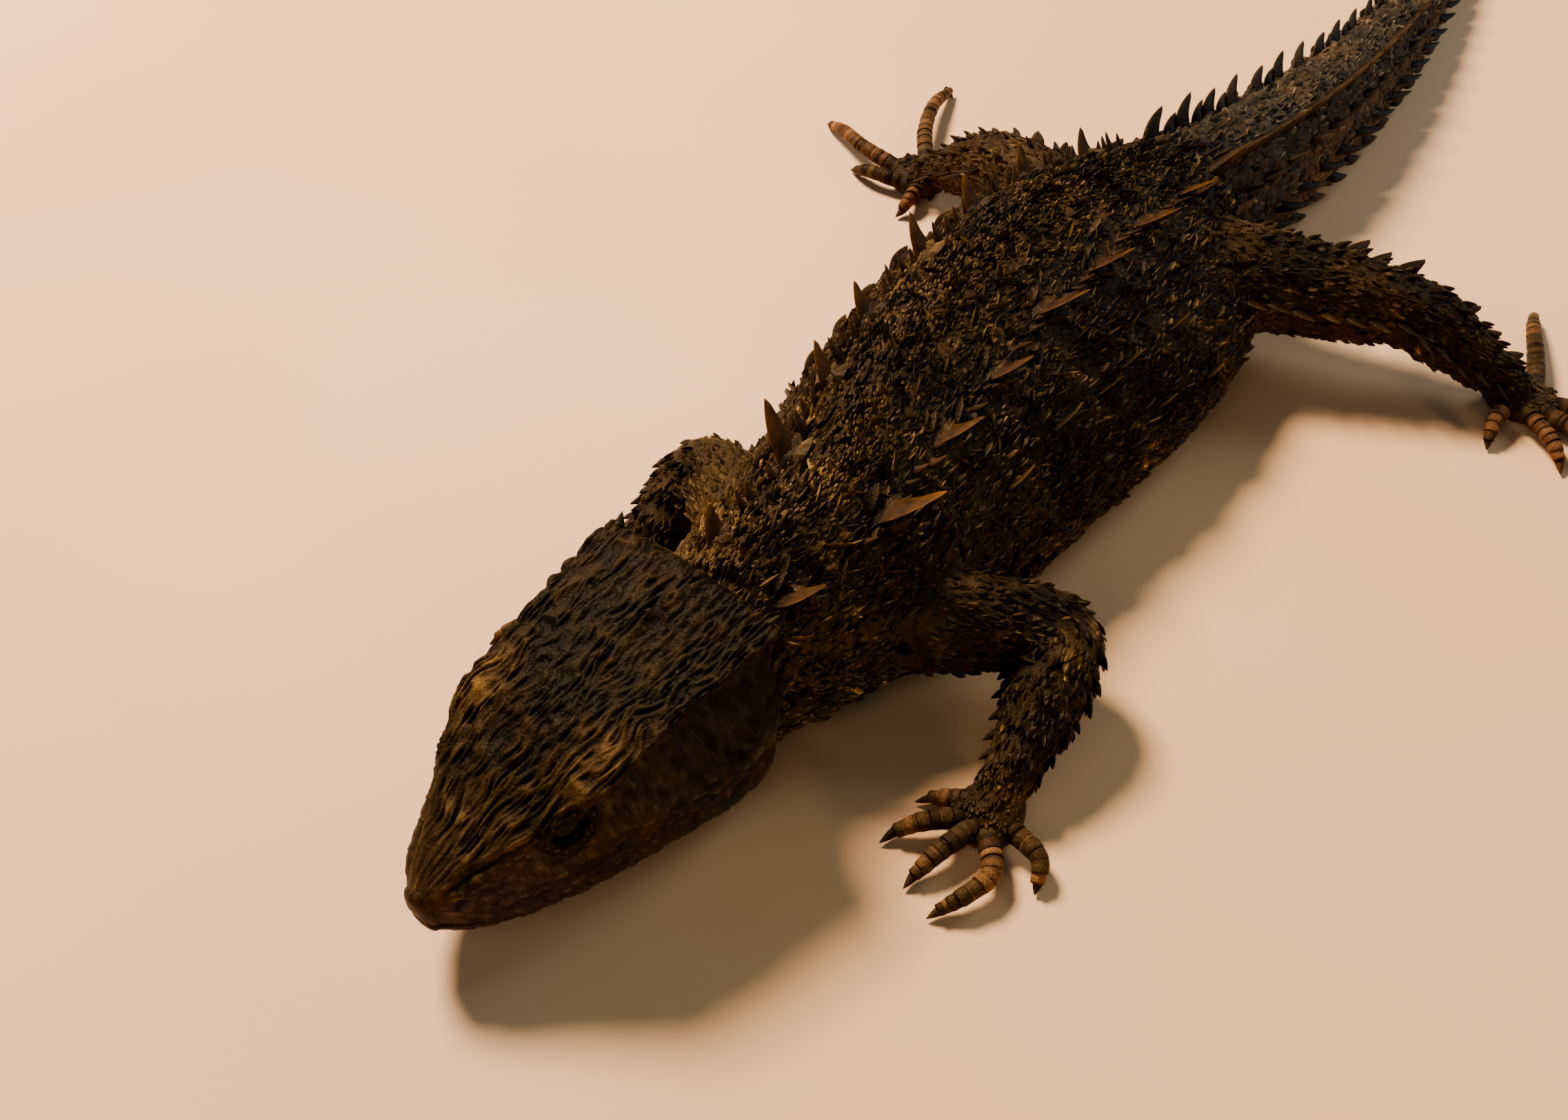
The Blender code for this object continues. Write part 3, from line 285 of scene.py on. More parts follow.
def noise(points, seed):
    """Smooth noise from 0 to 1 at each point, with features about one unit wide."""
    base = np.floor(points)
    part = points - base
    part = part * part * (3 - 2 * part)
    total = 0.0
    for corner in range(8):
        shift = np.array([(corner >> axis) & 1 for axis in range(3)])
        weight = np.prod(np.where(shift, part, 1 - part), axis=-1)
        total = total + weight * lattice(base + shift, seed)
    return total


def ridges(points, seed):
    """Noise folded into sharp ridges: 1 along the ridges and 0 in the hollows."""
    return 1.0 - np.abs(2.0 * noise(points, seed) - 1.0)


def cells(points, seed):
    """How deep a point lies inside its cell of a random mosaic: 0 on the borders, up to 1."""
    base = np.floor(points)
    near = np.full(points.shape[:-1], 9.0)
    second = near.copy()
    for i in (-1, 0, 1):
        for j in (-1, 0, 1):
            for k in (-1, 0, 1):
                cell = base + (i, j, k)
                spot = np.stack([lattice(cell, seed + n) for n in range(3)], axis=-1)
                gap = np.linalg.norm(cell + spot - points, axis=-1)
                second = np.minimum(second, np.maximum(near, gap))
                near = np.minimum(near, gap)
    return np.clip((second - near) * 1.6, 0.0, 1.0)


def step(low, high, value):
    """A smooth step from 0 to 1 between two values."""
    share = np.clip((value - low) / (high - low), 0.0, 1.0)
    return share * share * (3 - 2 * share)


def bell(value, middle, width):
    """A bell-shaped bump from 0 up to 1 where a value meets its middle."""
    return np.exp(-((value - middle) / width) ** 2)


# Curves and surfaces
def curve(table, column, at):
    """Read one column of a table at places along it, on a smooth curve through its rows."""
    rows = table if table[0, 0] < table[-1, 0] else table[::-1]
    x, y = rows[:, 0], rows[:, column]
    slopes = np.empty(len(x))
    slopes[1:-1] = (y[2:] - y[:-2]) / (x[2:] - x[:-2])
    slopes[0] = (y[1] - y[0]) / (x[1] - x[0])
    slopes[-1] = (y[-1] - y[-2]) / (x[-1] - x[-2])
    at = np.asarray(at, float)
    i = np.clip(np.searchsorted(x, at) - 1, 0, len(x) - 2)
    span = x[i + 1] - x[i]
    t = (at - x[i]) / span
    square, cube = t * t, t * t * t
    return (
        y[i] * (2 * cube - 3 * square + 1)
        + slopes[i] * span * (cube - 2 * square + t)
        + y[i + 1] * (3 * square - 2 * cube)
        + slopes[i + 1] * span * (cube - square)
    )


def unit(vectors):
    """Vectors scaled to a length of one."""
    return vectors / np.maximum(np.linalg.norm(vectors, axis=-1, keepdims=True), 1e-9)


def powered(value, power):
    """Raise values to a power and keep their signs."""
    return np.sign(value) * np.abs(value) ** power


def trunk_surface(x, turn, grow=0.0):
    """Points of the trunk or tail: turn 0 is the back, 0.25 the left side, 0.5 the belly."""
    x, turn = np.broadcast_arrays(np.asarray(x, float), np.asarray(turn, float))
    middle, ridge = curve(TRUNK, 1, x), curve(TRUNK, 2, x)
    half = curve(TRUNK, 3, x) + grow
    belly, back = curve(TRUNK, 4, x) - grow, curve(TRUNK, 5, x) + grow
    slope = curve(TRUNK, 1, x + 0.5) - curve(TRUNK, 1, x - 0.5)
    across = unit(np.stack([-slope, np.ones_like(slope), np.zeros_like(slope)], axis=-1))
    widest = belly + (back - belly) * WIDEST
    roof = ROOF_POWER + (TAIL_POWER - ROOF_POWER) * np.clip((-25.0 - x) / 20.0, 0.0, 1.0)
    angle = 2 * np.pi * turn
    cosine, sine = np.cos(angle), np.sin(angle)
    share = np.abs(cosine) ** roof
    upper = cosine >= 0
    low_share = powered(cosine, BELLY_POWER)
    height = np.where(upper, widest + (back - widest) * share,
                      widest + (widest - belly) * low_share)
    offset = np.where(upper, half * powered(sine, roof) + (ridge - middle) * share,
                      half * powered(sine, BELLY_POWER))
    place = np.stack([x, middle, height], axis=-1)
    return place + across * offset[..., None]


def turn_at(x, offset):
    """The turn round the back at which the trunk lies this far to the side of its ridge."""
    half = float(curve(TRUNK, 3, x))
    share = min(1.0, abs(offset) / half) ** (1 / ROOF_POWER)
    return math.copysign(math.asin(share) / (2 * math.pi), offset)


AHEAD = np.array((math.cos(HEAD_TURN), math.sin(HEAD_TURN), 0.0))
LEFT = np.array((-math.sin(HEAD_TURN), math.cos(HEAD_TURN), 0.0))
UP = np.array((0.0, 0.0, 1.0))


def head_place(back, out, height):
    """Points of the head, from its tip: how far back, how far to the left, and their height."""
    back, out, height = np.broadcast_arrays(*(np.asarray(v, float) for v in (back, out, height)))
    tip = np.array((*HEAD_TIP, 0.0))
    return tip - back[..., None] * AHEAD + out[..., None] * LEFT + height[..., None] * UP


def head_terms(points):
    """How far back from the tip of the head, how far to its left, and how high points lie."""
    away = points - np.array((*HEAD_TIP, 0.0))
    return -(away @ AHEAD), away @ LEFT, points[..., 2]


def head_way(ahead, left, up):
    """A direction given along the head, to its left and up."""
    return unit(AHEAD * ahead + LEFT * left + UP * up)


def spline(points, count):
    """Resample a line of points evenly by its knots, on a smooth curve."""
    points = np.asarray(points, float)
    knots = np.arange(len(points), dtype=float)
    at = np.linspace(0.0, len(points) - 1.0, count)
    table = np.column_stack([knots, points])
    return np.stack([curve(table, c + 1, at) for c in range(points.shape[1])], axis=-1)


def lengths(path):
    """How far along a path each of its points lies."""
    return np.concatenate([[0], np.cumsum(np.linalg.norm(np.diff(path, axis=0), axis=1))])


def path_frames(path):
    """The way along a path, and two directions across it that don't twist."""
    way = unit(np.gradient(path, axis=0))
    first = unit(np.cross(way[0], np.array((0.0, 0.0, 1.0)) + 1e-6))
    sides = [first]
    for w in way[1:]:
        side = sides[-1] - w * np.dot(sides[-1], w)
        sides.append(unit(side))
    side = np.array(sides)
    return way, side, np.cross(side, way)


# Meshes
def new_mesh(name, verts, faces, smooth=True):
    """A mesh object in metres from points in millimetres and triangles or quads."""
    mesh = bpy.data.meshes.new(name)
    verts = np.asarray(verts, float) * MM
    sizes = np.array([len(f) for f in faces], np.int32) if isinstance(faces, list) else None
    if sizes is None:
        sizes = np.full(len(faces), faces.shape[1], np.int32)
        flat = faces.reshape(-1).astype(np.int32)
    else:
        flat = np.concatenate([np.asarray(f, np.int32) for f in faces])
    mesh.vertices.add(len(verts))
    mesh.vertices.foreach_set("co", verts.reshape(-1).astype(np.float32))
    mesh.loops.add(len(flat))
    mesh.loops.foreach_set("vertex_index", flat)
    mesh.polygons.add(len(sizes))
    starts = np.concatenate([[0], np.cumsum(sizes)[:-1]]).astype(np.int32)
    mesh.polygons.foreach_set("loop_start", starts)
    mesh.polygons.foreach_set("use_smooth", np.full(len(sizes), smooth))
    mesh.update(calc_edges=True)
    mesh.validate()
    piece = bpy.data.objects.new(name, mesh)
    bpy.context.scene.collection.objects.link(piece)
    return piece


def grid_faces(rings, sides):
    """Quads between rings of points, as rows of four indices."""
    i = np.arange(rings - 1)[:, None] * sides
    j = np.arange(sides)[None, :]
    k = (j + 1) % sides
    return np.stack([i + j, i + k, i + sides + k, i + sides + j], axis=-1).reshape(-1, 4)


def loft(rings):
    """Points, quads and end triangles of a closed tube through rings of equal counts."""
    count, sides = rings.shape[:2]
    verts = rings.reshape(-1, 3)
    first, last = len(verts), len(verts) + 1
    verts = np.concatenate([verts, rings[0].mean(0)[None], rings[-1].mean(0)[None]])
    j = np.arange(sides)
    k = (j + 1) % sides
    base = (count - 1) * sides
    front = np.stack([k, j, np.full(sides, first)], axis=-1)
    rear = np.stack([base + j, base + k, np.full(sides, last)], axis=-1)
    return verts, grid_faces(count, sides), np.concatenate([front, rear])


def as_list(quads, tris):
    """Quads and triangles together as one list of faces."""
    return list(quads) + list(tris)


def tube(path, radii, sides):
    """Rings round a path."""
    _, side, over = path_frames(path)
    angle = np.linspace(0, 2 * np.pi, sides, endpoint=False)
    ring = side[:, None] * np.cos(angle)[:, None] + over[:, None] * np.sin(angle)[:, None]
    return path[:, None] + ring * np.asarray(radii)[:, None, None]


def set_values(piece, name, values):
    """Store one number for each point of a mesh."""
    attribute = piece.data.attributes.new(name, "FLOAT", "POINT")
    attribute.data.foreach_set("value", np.asarray(values, np.float32))


def set_colours(piece, name, colours):
    """Store one colour for each point of a mesh."""
    attribute = piece.data.attributes.new(name, "FLOAT_COLOR", "POINT")
    full = np.ones((len(colours), 4), np.float32)
    full[:, :3] = colours
    attribute.data.foreach_set("color", full.reshape(-1))


def mesh_points(piece):
    """The points of a mesh in millimetres."""
    flat = np.empty(len(piece.data.vertices) * 3, np.float32)
    piece.data.vertices.foreach_get("co", flat)
    return flat.reshape(-1, 3).astype(float) / MM


def mesh_normals(piece):
    """The directions out of a mesh at its points."""
    flat = np.empty(len(piece.data.vertices) * 3, np.float32)
    piece.data.vertex_normals.foreach_get("vector", flat)
    return flat.reshape(-1, 3).astype(float)


# Markings: one rule for skin and coat
DARK = np.array((0.0125, 0.0062, 0.0019))
UMBER = np.array((0.0310, 0.0140, 0.0032))
OCHRE = np.array((0.150, 0.064, 0.0120))
TAN = np.array((0.0340, 0.0158, 0.0036))
OLIVE = np.array((0.0360, 0.0210, 0.0042))
PLUM = np.array((0.0180, 0.0100, 0.0060))
RUSSET = np.array((0.062, 0.0205, 0.0060))
SHADE = np.array((0.0300, 0.0190, 0.0080))
GREY = np.array((0.075, 0.056, 0.036))
PALE = np.array((0.16, 0.10, 0.05))
AMBER = np.array((0.20, 0.060, 0.0050))


def blend(first, second, share):
    """Mix two colours by a share for each point."""
    share = np.asarray(share)[..., None]
    return first * (1 - share) + second * share


def body_colour(points, patches):
    """The colour of trunk, tail and limbs: near black, browner on the back, greyer on the tail."""
    x, y, z = points[..., 0], points[..., 1], points[..., 2]
    inside = np.clip(x, -123.9, 37.4)
    ridge, back = curve(TRUNK, 2, inside), curve(TRUNK, 5, inside)
    colour = blend(DARK, UMBER, step(0.35, 0.7, patches))
    on_back = step(0.72, 0.92, z / back) * step(-30, -20, x) * step(27, 22, x)
    on_back *= step(8.5, 5.0, np.abs(y - ridge))
    colour = blend(colour, TAN, on_back * step(0.25, 0.75, patches) * 0.85)
    # Ochre flecks over the trunk: partly its own colour, partly painted warm glints
    flecks_and_glints = noise(points / 0.5, 7) * noise(points / 2.6, 8)
    colour = blend(colour, OCHRE * 0.7, step(0.46, 0.66, flecks_and_glints) * step(-60, -20, x) * step(45, 30, x))
    # Brighter all over, and much brighter on the neck behind the head: painted light that lifts the shade
    # there
    colour = colour * (1.15 + 1.6 * step(18.0, 26.0, x) * step(12.0, 9.0, np.abs(y)))[..., None]
    colour = colour * (1 + 0.9 * step(-30.0, -45.0, x))[..., None]
    return blend(colour, GREY, 0.25 * step(-28.0, -40.0, x))


def head_colour(points, patches, on_head):
    """The colour of the head: plum towards the snout, with an olive crown and ochre brows."""
    behind, out, height = head_terms(points)
    edge = curve(HEAD, 3, np.clip(behind, 0.0, 28.0))
    on_crown = step(edge - 1.2, edge - 0.3, height) * on_head
    colour = blend(SHADE, UMBER * 1.3, step(0.4, 0.9, patches))
    # Darker on the side of the head below the casque's rear edge: painted shade under its overhang
    colour = colour * (1 - 0.30 * step(13.0, 17.5, behind) * step(7.0, 10.0, height))[..., None]
    colour = blend(colour, PLUM * 2.4, step(9.0, 4.0, behind) * 0.8)
    warm = step(0.42, 0.68, noise(points / 3.4, 12) * 0.5 + noise(points / 0.9, 13) * 0.5)
    crown = blend(OLIVE * 0.20, OCHRE * 0.11, warm)
    brow = bell(behind, 10.5, 3.0) * bell(np.abs(out), 5.3, 1.6)
    rim = step(6.0, 7.2, np.abs(out)) * step(17, 21, behind)
    crown = blend(crown, OCHRE * 0.62, np.clip(brow + rim * 0.12, 0, 1) * 0.8)
    crown = blend(crown, UMBER * 1.9, step(9.0, 3.0, behind) * 0.7)
    return blend(colour, crown, on_crown)


def warm_feet(colour, points):
    """Blotches of russet and gold over hands, feet and digits."""
    x, y, z = points[..., 0], points[..., 1], points[..., 2]
    blotch = step(0.38, 0.62, noise(points / 1.3, 15))
    for limb, spec in FEET.items():
        (px, py), length, _, _ = spec["palm"]
        away = np.hypot(x - px, y - py)
        near = step(length + 16.5, length + 15.5, away) * step(2.9, 2.2, z)
        near *= step(length * 0.75, length * 1.25, away) * step(10.0, 14.0, np.abs(y))
        gold = 0.32 if limb == "arm_l" else 0.08
        warmth = blend(UMBER * 1.1, RUSSET * 1.2 + OCHRE * gold, blotch)
        colour = blend(colour, warmth, near)
    return colour


def markings(points):
    """The colour of skin and scales at points, before stains, the relief's painted shade and
    highlights, wet and fine grain are added.
    """
    patches = noise(points / 5.0, 3) * 0.6 + noise(points / 1.7, 4) * 0.4
    behind, _, height = head_terms(points)
    on_head = step(26.5, 24.8, behind) * step(-2.0, -0.5, behind)
    colour = blend(body_colour(points, patches), head_colour(points, patches, on_head), on_head)
    colour = warm_feet(colour, points)
    under = step(1.4, 0.4, height) * (1 - on_head) * step(11.0, 8.0, np.abs(points[..., 1]))
    return blend(colour, PALE, under * 0.6)


# Materials
def add(tree, kind, **values):
    """A node with the values of its named settings and sockets."""
    node = tree.nodes.new(kind)
    for key, value in values.items():
        if key in node.inputs:
            node.inputs[key].default_value = value
        else:
            setattr(node, key, value)
    return node


def maths(tree, operation, first, second):
    """A number worked out from two others, each a socket or a constant."""
    node = tree.nodes.new("ShaderNodeMath")
    node.operation = operation
    for socket, value in zip(node.inputs, (first, second)):
        if isinstance(value, (int, float)):
            socket.default_value = value
        else:
            tree.links.new(value, socket)
    return node.outputs[0]


def ramp(tree, source, stops):
    """A colour ramp through stops of place and colour."""
    node = tree.nodes.new("ShaderNodeValToRGB")
    while len(node.color_ramp.elements) < len(stops):
        node.color_ramp.elements.new(0.5)
    for element, (place, colour) in zip(node.color_ramp.elements, stops):
        element.position = place
        element.color = (*colour, 1.0)
    tree.links.new(source, node.inputs[0])
    return node.outputs[0]


def multiplied(tree, share, first, second):
    """One colour multiplied by a share of another."""
    node = tree.nodes.new("ShaderNodeMix")
    node.data_type = "RGBA"
    node.blend_type = "MULTIPLY"
    node.inputs[0].default_value = share
    tree.links.new(first, node.inputs[6])
    tree.links.new(second, node.inputs[7])
    return node.outputs[2]


def greys(tree, source, stops):
    """A ramp of greys through stops of place and brightness."""
    return ramp(tree, source, [(place, (bright,) * 3) for place, bright in stops])


def new_material(name):
    """A material with its node tree, shader, and the outputs that give place, tint and relief."""
    material = bpy.data.materials.new(name)
    material.use_nodes = True
    tree = material.node_tree
    place = tree.nodes.new("ShaderNodeTexCoord").outputs["Object"]
    tint = add(tree, "ShaderNodeAttribute", attribute_name="tint").outputs["Color"]
    relief = add(tree, "ShaderNodeAttribute", attribute_name="relief").outputs["Fac"]
    return material, tree, tree.nodes["Principled BSDF"], place, tint, relief


def texture(tree, kind, place, **values):
    """A texture node at a place."""
    node = add(tree, kind, **values)
    tree.links.new(place, node.inputs["Vector"])
    return node


def roughened(tree, shader, source, amount, lowest):
    """Let a texture drive the roughness, from its lowest value up."""
    rough = maths(tree, "MULTIPLY_ADD", source, amount)
    rough.node.inputs[2].default_value = lowest
    tree.links.new(rough, shader.inputs["Roughness"])


def bumped(tree, shader, height, strength, distance):
    """Fine bumps of a height in metres."""
    node = add(tree, "ShaderNodeBump", Strength=strength, Distance=distance)
    tree.links.new(height, node.inputs["Height"])
    tree.links.new(node.outputs["Normal"], shader.inputs["Normal"])


def skin_material(name, grain, wet, low, high, bump):
    """Tinted skin with a wet gloss, from its low brightness in hollows to its high on ridges,
    which are painted shade in the hollows and painted highlights on the ridges.
    """
    material, tree, shader, place, tint, relief = new_material(name)
    fine = texture(tree, "ShaderNodeTexNoise", place, Scale=grain, Detail=6.0, Roughness=0.65)
    broad = texture(tree, "ShaderNodeTexNoise", place, Scale=420.0, Detail=3.0)
    # Low relief painted darker as shade in hollows and between scales, high relief painted lighter as
    # highlights
    shade = greys(tree, relief, ((0.0, low), (0.40, 0.50), (0.70, 1.0), (1.0, high)))
    colour = multiplied(tree, 1.0, tint, shade)
    speckle = greys(tree, fine.outputs["Fac"], ((0.30, 0.45), (0.5, 0.85), (0.72, 1.6)))
    colour = multiplied(tree, 0.85, colour, speckle)
    stain = greys(tree, broad.outputs["Fac"], ((0.35, 0.75), (0.65, 1.25)))
    colour = multiplied(tree, 0.8, colour, stain)
    tree.links.new(colour, shader.inputs["Base Color"])
    roughened(tree, shader, fine.outputs["Fac"], 0.5, wet)
    shader.inputs["Specular IOR Level"].default_value = SKIN_SPECULAR
    shader.inputs["Specular Tint"].default_value = SKIN_GLOSS_TINT
    dents = texture(tree, "ShaderNodeTexVoronoi", place, Scale=grain * 1.1)
    height = maths(tree, "ADD", dents.outputs["Distance"], fine.outputs["Fac"])
    bumped(tree, shader, height, bump, 0.00012)
    return material


def horn_material(name):
    """Smooth horn: near black at the root, brown towards a tip that light comes through."""
    material, tree, shader, place, tint, relief = new_material(name)
    streak = texture(tree, "ShaderNodeTexNoise", place, Scale=1100.0, Detail=7.0)
    shade = greys(tree, relief, ((0.0, 0.25), (0.5, 0.7), (1.0, 1.5)))
    colour = multiplied(tree, 1.0, tint, shade)
    grain = greys(tree, streak.outputs["Fac"], ((0.35, 0.5), (0.65, 1.5)))
    colour = multiplied(tree, 0.9, colour, grain)
    tree.links.new(colour, shader.inputs["Base Color"])
    roughened(tree, shader, streak.outputs["Fac"], 0.25, 0.46)
    shader.inputs["Specular IOR Level"].default_value = HORN_SPECULAR
    shader.inputs["Specular Tint"].default_value = HORN_GLOSS_TINT
    bumped(tree, shader, streak.outputs["Fac"], 0.25, 0.00006)
    return material


def eye_material():
    """A dark wet eye with a brown iris round its pupil."""
    material, tree, shader, place, _, relief = new_material("eye_wet")
    fibre = texture(tree, "ShaderNodeTexNoise", place, Scale=2600.0, Detail=3.0)
    colour = ramp(tree, relief, ((0.0, (0.004, 0.003, 0.0022)), (0.35, (0.009, 0.005, 0.0022)),
                                 (0.62, (0.015, 0.007, 0.0025)), (0.70, (0.001, 0.001, 0.001))))
    grain = greys(tree, fibre.outputs["Fac"], ((0.3, 0.6), (0.7, 1.4)))
    colour = multiplied(tree, 0.8, colour, grain)
    tree.links.new(colour, shader.inputs["Base Color"])
    shader.inputs["Roughness"].default_value = 0.14
    shader.inputs["IOR"].default_value = 1.34
    shader.inputs["Specular IOR Level"].default_value = EYE_SPECULAR
    return material


def finish_piece(piece, material):
    """Give a piece its material and slot, and let it ride on the body."""
    piece.data.materials.clear()
    piece.data.materials.append(material)
    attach(piece, "root")


# Skin
def limb_line(limb):
    """The centre line of a limb from its root to the middle of its palm, with radii."""
    (root, r0), (joint, r1), (end, r2) = LIMBS[limb]
    upper, lower = HIND_SWELL if limb.startswith("leg") else FORE_SWELL
    x, y = FEET[limb]["palm"][0]
    palm = (x, y, PALM_HEIGHT - 0.1)
    points, radii = [], []
    for start, stop, a, b, swell in ((root, joint, r0, r1, upper), (joint, end, r1, r2, lower)):
        for share in np.linspace(0, 1, 9)[:-1]:
            points.append(np.array(start) + (np.array(stop) - np.array(start)) * share)
            radii.append((a + (b - a) * share) * (1 + (swell - 1) * math.sin(math.pi * share)))
    points += [np.array(end), (np.array(end) + palm) / 2, np.array(palm)]
    radii += [r2, r2 * 0.93, 1.2]
    points, radii = np.array(points), np.array(radii)
    for _ in range(2):
        points[1:-1] = points[1:-1] * 0.5 + (points[:-2] + points[2:]) * 0.25
    return points, radii - COAT * 0.8


def limb_path(limb, count):
    """Even points along a limb with their radii and how far along it they lie."""
    points, radii = limb_line(limb)
    path = spline(points, count)
    return path, spline(radii[:, None], count)[:, 0], lengths(path)


def ball(centre, radii, turn, rings=24, sides=36):
    """Points and faces of a ball stretched along three axes and turned about Z."""
    rise = np.linspace(-np.pi / 2 + 0.02, np.pi / 2 - 0.02, rings)
    angle = np.linspace(0, 2 * np.pi, sides, endpoint=False)
    shape = np.stack([
        np.cos(rise)[:, None] * np.cos(angle) * radii[0],
        np.cos(rise)[:, None] * np.sin(angle) * radii[1],
        np.sin(rise)[:, None] * np.ones_like(angle) * radii[2],
    ], axis=-1)
    c, s = math.cos(math.radians(turn)), math.sin(math.radians(turn))
    spun = np.stack([shape[..., 0] * c - shape[..., 1] * s,
                     shape[..., 0] * s + shape[..., 1] * c, shape[..., 2]], axis=-1)
    return loft((spun + np.array(centre))[::-1])


def join_shapes(shapes):
    """Several shapes as one list of points and faces."""
    verts, faces, start = [], [], 0
    for points, quads, tris in shapes:
        verts.append(points)
        faces += list(quads + start) + list(tris + start)
        start += len(points)
    return np.concatenate(verts), faces


def body_core():
    """Trunk, limbs and palms fused to one closed skin, without head and digits."""
    x = np.linspace(37.3, -123.7, TRUNK_RINGS)
    turn = np.arange(TRUNK_SIDES) / TRUNK_SIDES
    shapes = [loft(trunk_surface(x[:, None], turn[None, :], -COAT))]
    for limb in LIMBS:
        points, radii = limb_line(limb)
        path, size, _ = limb_path(limb, 60)
        shapes.append(loft(tube(path, size, 28)))
        for centre, radius in ((points[0], radii[0]), (points[8], radii[8])):
            shapes.append(ball(centre, (radius * 0.98,) * 3, 0))
        (px, py), length, width, spin = FEET[limb]["palm"]
        shapes.append(ball((px, py, PALM_HEIGHT - 0.2), (length - 0.1, width - 0.1, 1.25), spin))
    verts, faces = join_shapes(shapes)
    core = new_mesh("core", verts, faces)
    remesh = core.modifiers.new("remesh", "REMESH")
    remesh.mode = "VOXEL"
    remesh.voxel_size = VOXEL * MM
    smooth = core.modifiers.new("smooth", "SMOOTH")
    smooth.factor = 0.5
    smooth.iterations = 6
    depsgraph = bpy.context.evaluated_depsgraph_get()
    mesh = bpy.data.meshes.new_from_object(core.evaluated_get(depsgraph))
    core.modifiers.clear()
    core.data = mesh
    return core


def body_relief(points):
    """How the trunk, tail and limbs stand out or sink in, from 0 to 1."""
    long = points / np.array((1.5, 0.62, 0.62))
    warp = noise(points / 2.5, 21)[..., None] * 1.4
    fold = ridges(long + warp, 22)
    grains = cells(points / 0.8, 23)
    deep = ridges(points / np.array((2.4, 4.2, 4.2)), 24)
    hang = ridges((points + warp) / np.array((0.75, 4.0, 3.2)), 25) ** 1.5
    flank = step(8.0, 10.5, np.abs(points[..., 1])) * step(28, 22, points[..., 0])
    flank = flank * step(-12, 4, points[..., 0])
    mixed = fold * 0.45 + grains * 0.35 + deep * 0.3 - 0.05
    return np.clip(mixed * (1 - flank * 0.7) + hang * flank * 0.7, 0.0, 1.0)


def neck_folds(points):
    """Loose skin folds round the neck and ahead of the shoulder."""
    x = points[..., 0] + noise(points / 4.0, 31) * 3.0
    wave = np.sin(x * 2.0) * 0.5 + 0.5
    return wave * step(21, 27, points[..., 0])


def make_body():
    """The fused skin with its relief pressed into it."""
    core = body_core()
    points, normals = mesh_points(core), mesh_normals(core)
    relief = body_relief(points)
    amount = BODY_DEPTH * (relief - 0.6)
    amount += NECK_DEPTH * (neck_folds(points) - 0.5) * step(21, 27, points[:, 0])
    calm = step(0.15, 1.0, points[:, 2])
    points = points + normals * (amount * calm)[:, None]
    points[:, 2] = np.maximum(points[:, 2], 0.02)
    return points, core, relief


def head_keys(back):
    """The key points of the head's left half, from the crown's middle to the throat's."""
    v = [curve(HEAD, c, back) for c in range(12)]
    _, crown, ew, ez, gw, gz, lw, mz, ow, oz, jw, jz = v
    zero = np.zeros_like(crown)
    keys = (
        (zero, crown), (ew * 0.62, crown * 0.99), (ew, ez),
        (gw + 0.15, gz * 0.55 + ez * 0.45), (gw, gz), (lw * 0.96, mz + 1.7),
        (lw, mz + 0.5), (lw * 0.97, mz), (ow, oz + 0.3), (jw * 1.08, jz + 0.9), (zero, jz),
    )
    return np.stack([np.stack(k, axis=-1) for k in keys], axis=1)


def head_sections(backs):
    """Half sections of the head as fine lines of points across and up, with their key terms."""
    keys = head_keys(backs)
    count = keys.shape[1]
    rows, terms = [], []
    for k, steps in enumerate(HEAD_STEPS):
        before, low = keys[:, max(k - 1, 0)], keys[:, k]
        high, after = keys[:, k + 1], keys[:, min(k + 2, count - 1)]
        for s in range(steps):
            t = s / steps
            square, cube = t * t, t * t * t
            point = (
                low * (2 * cube - 3 * square + 1)
                + (high - before) * HEAD_TENSION * (cube - 2 * square + t)
                + high * (3 * square - 2 * cube)
                + (after - low) * HEAD_TENSION * (cube - square)
            )
            rows.append(point)
            terms.append(k + t)
    rows.append(keys[:, -1])
    terms.append(count - 1.0)
    return np.stack(rows, axis=1), np.array(terms)


def crown_relief(back, out):
    """Wrinkles that fan back from the snout, finer and more broken to the rear, from 0 to 1."""
    half = curve(HEAD, 2, np.clip(back, 0.0, 25.0))
    across = out / (0.165 * np.sqrt(half))
    flat = np.zeros_like(out)
    drift = noise(np.stack([back / 1.8, out / 1.4, flat + 5.0], axis=-1), 41) - 0.5
    across = across + drift * 2.4
    base = np.stack([back / 1.7, across, flat], axis=-1)
    first = ridges(base, 42)
    second = ridges(base * np.array((1.7, 2.1, 1.0)) + 9.0, 43)
    breaks = noise(np.stack([back / 0.7, across, flat], axis=-1), 44)
    rear = step(3.0, 6.5, half)
    sharp = first ** 1.4 * (0.75 - 0.45 * rear) + second ** 1.2 * (0.25 + 0.45 * rear)
    return np.clip(step(0.0, 0.95, sharp) * (0.45 + 0.75 * breaks), 0, 1)


def side_relief(points):
    """Small flat scales and soft folds on the sides of the head, from 0 to 1."""
    big = cells(points / np.array((1.0, 1.0, 0.7)), 51)
    small = cells(points / 0.42, 52)
    folds = ridges(points / np.array((1.5, 1.5, 0.6)) + noise(points / 1.4, 54)[..., None] * 1.6, 53)
    return np.clip(step(0.0, 0.6, big) * 0.3 + small * 0.3 + folds ** 1.3 * 0.5, 0.0, 1.0)


def round_snout(section, middle, backs):
    """Sections near the snout's tip, drawn to ovals so that the tip is blunt and even."""
    away = section - middle
    wide = np.abs(away[..., 0]).max(axis=1)[:, None]
    tall = np.abs(away[..., 1]).max(axis=1)[:, None]
    fill = (np.abs(away[..., 0]) / wide) ** 2.3 + (np.abs(away[..., 1]) / tall) ** 2.3
    share = 0.92 * step(4.2, 0.0, backs)[:, None]
    return middle + away * (1 - share + share / np.maximum(fill, 1e-6) ** (1 / 2.3))[..., None]


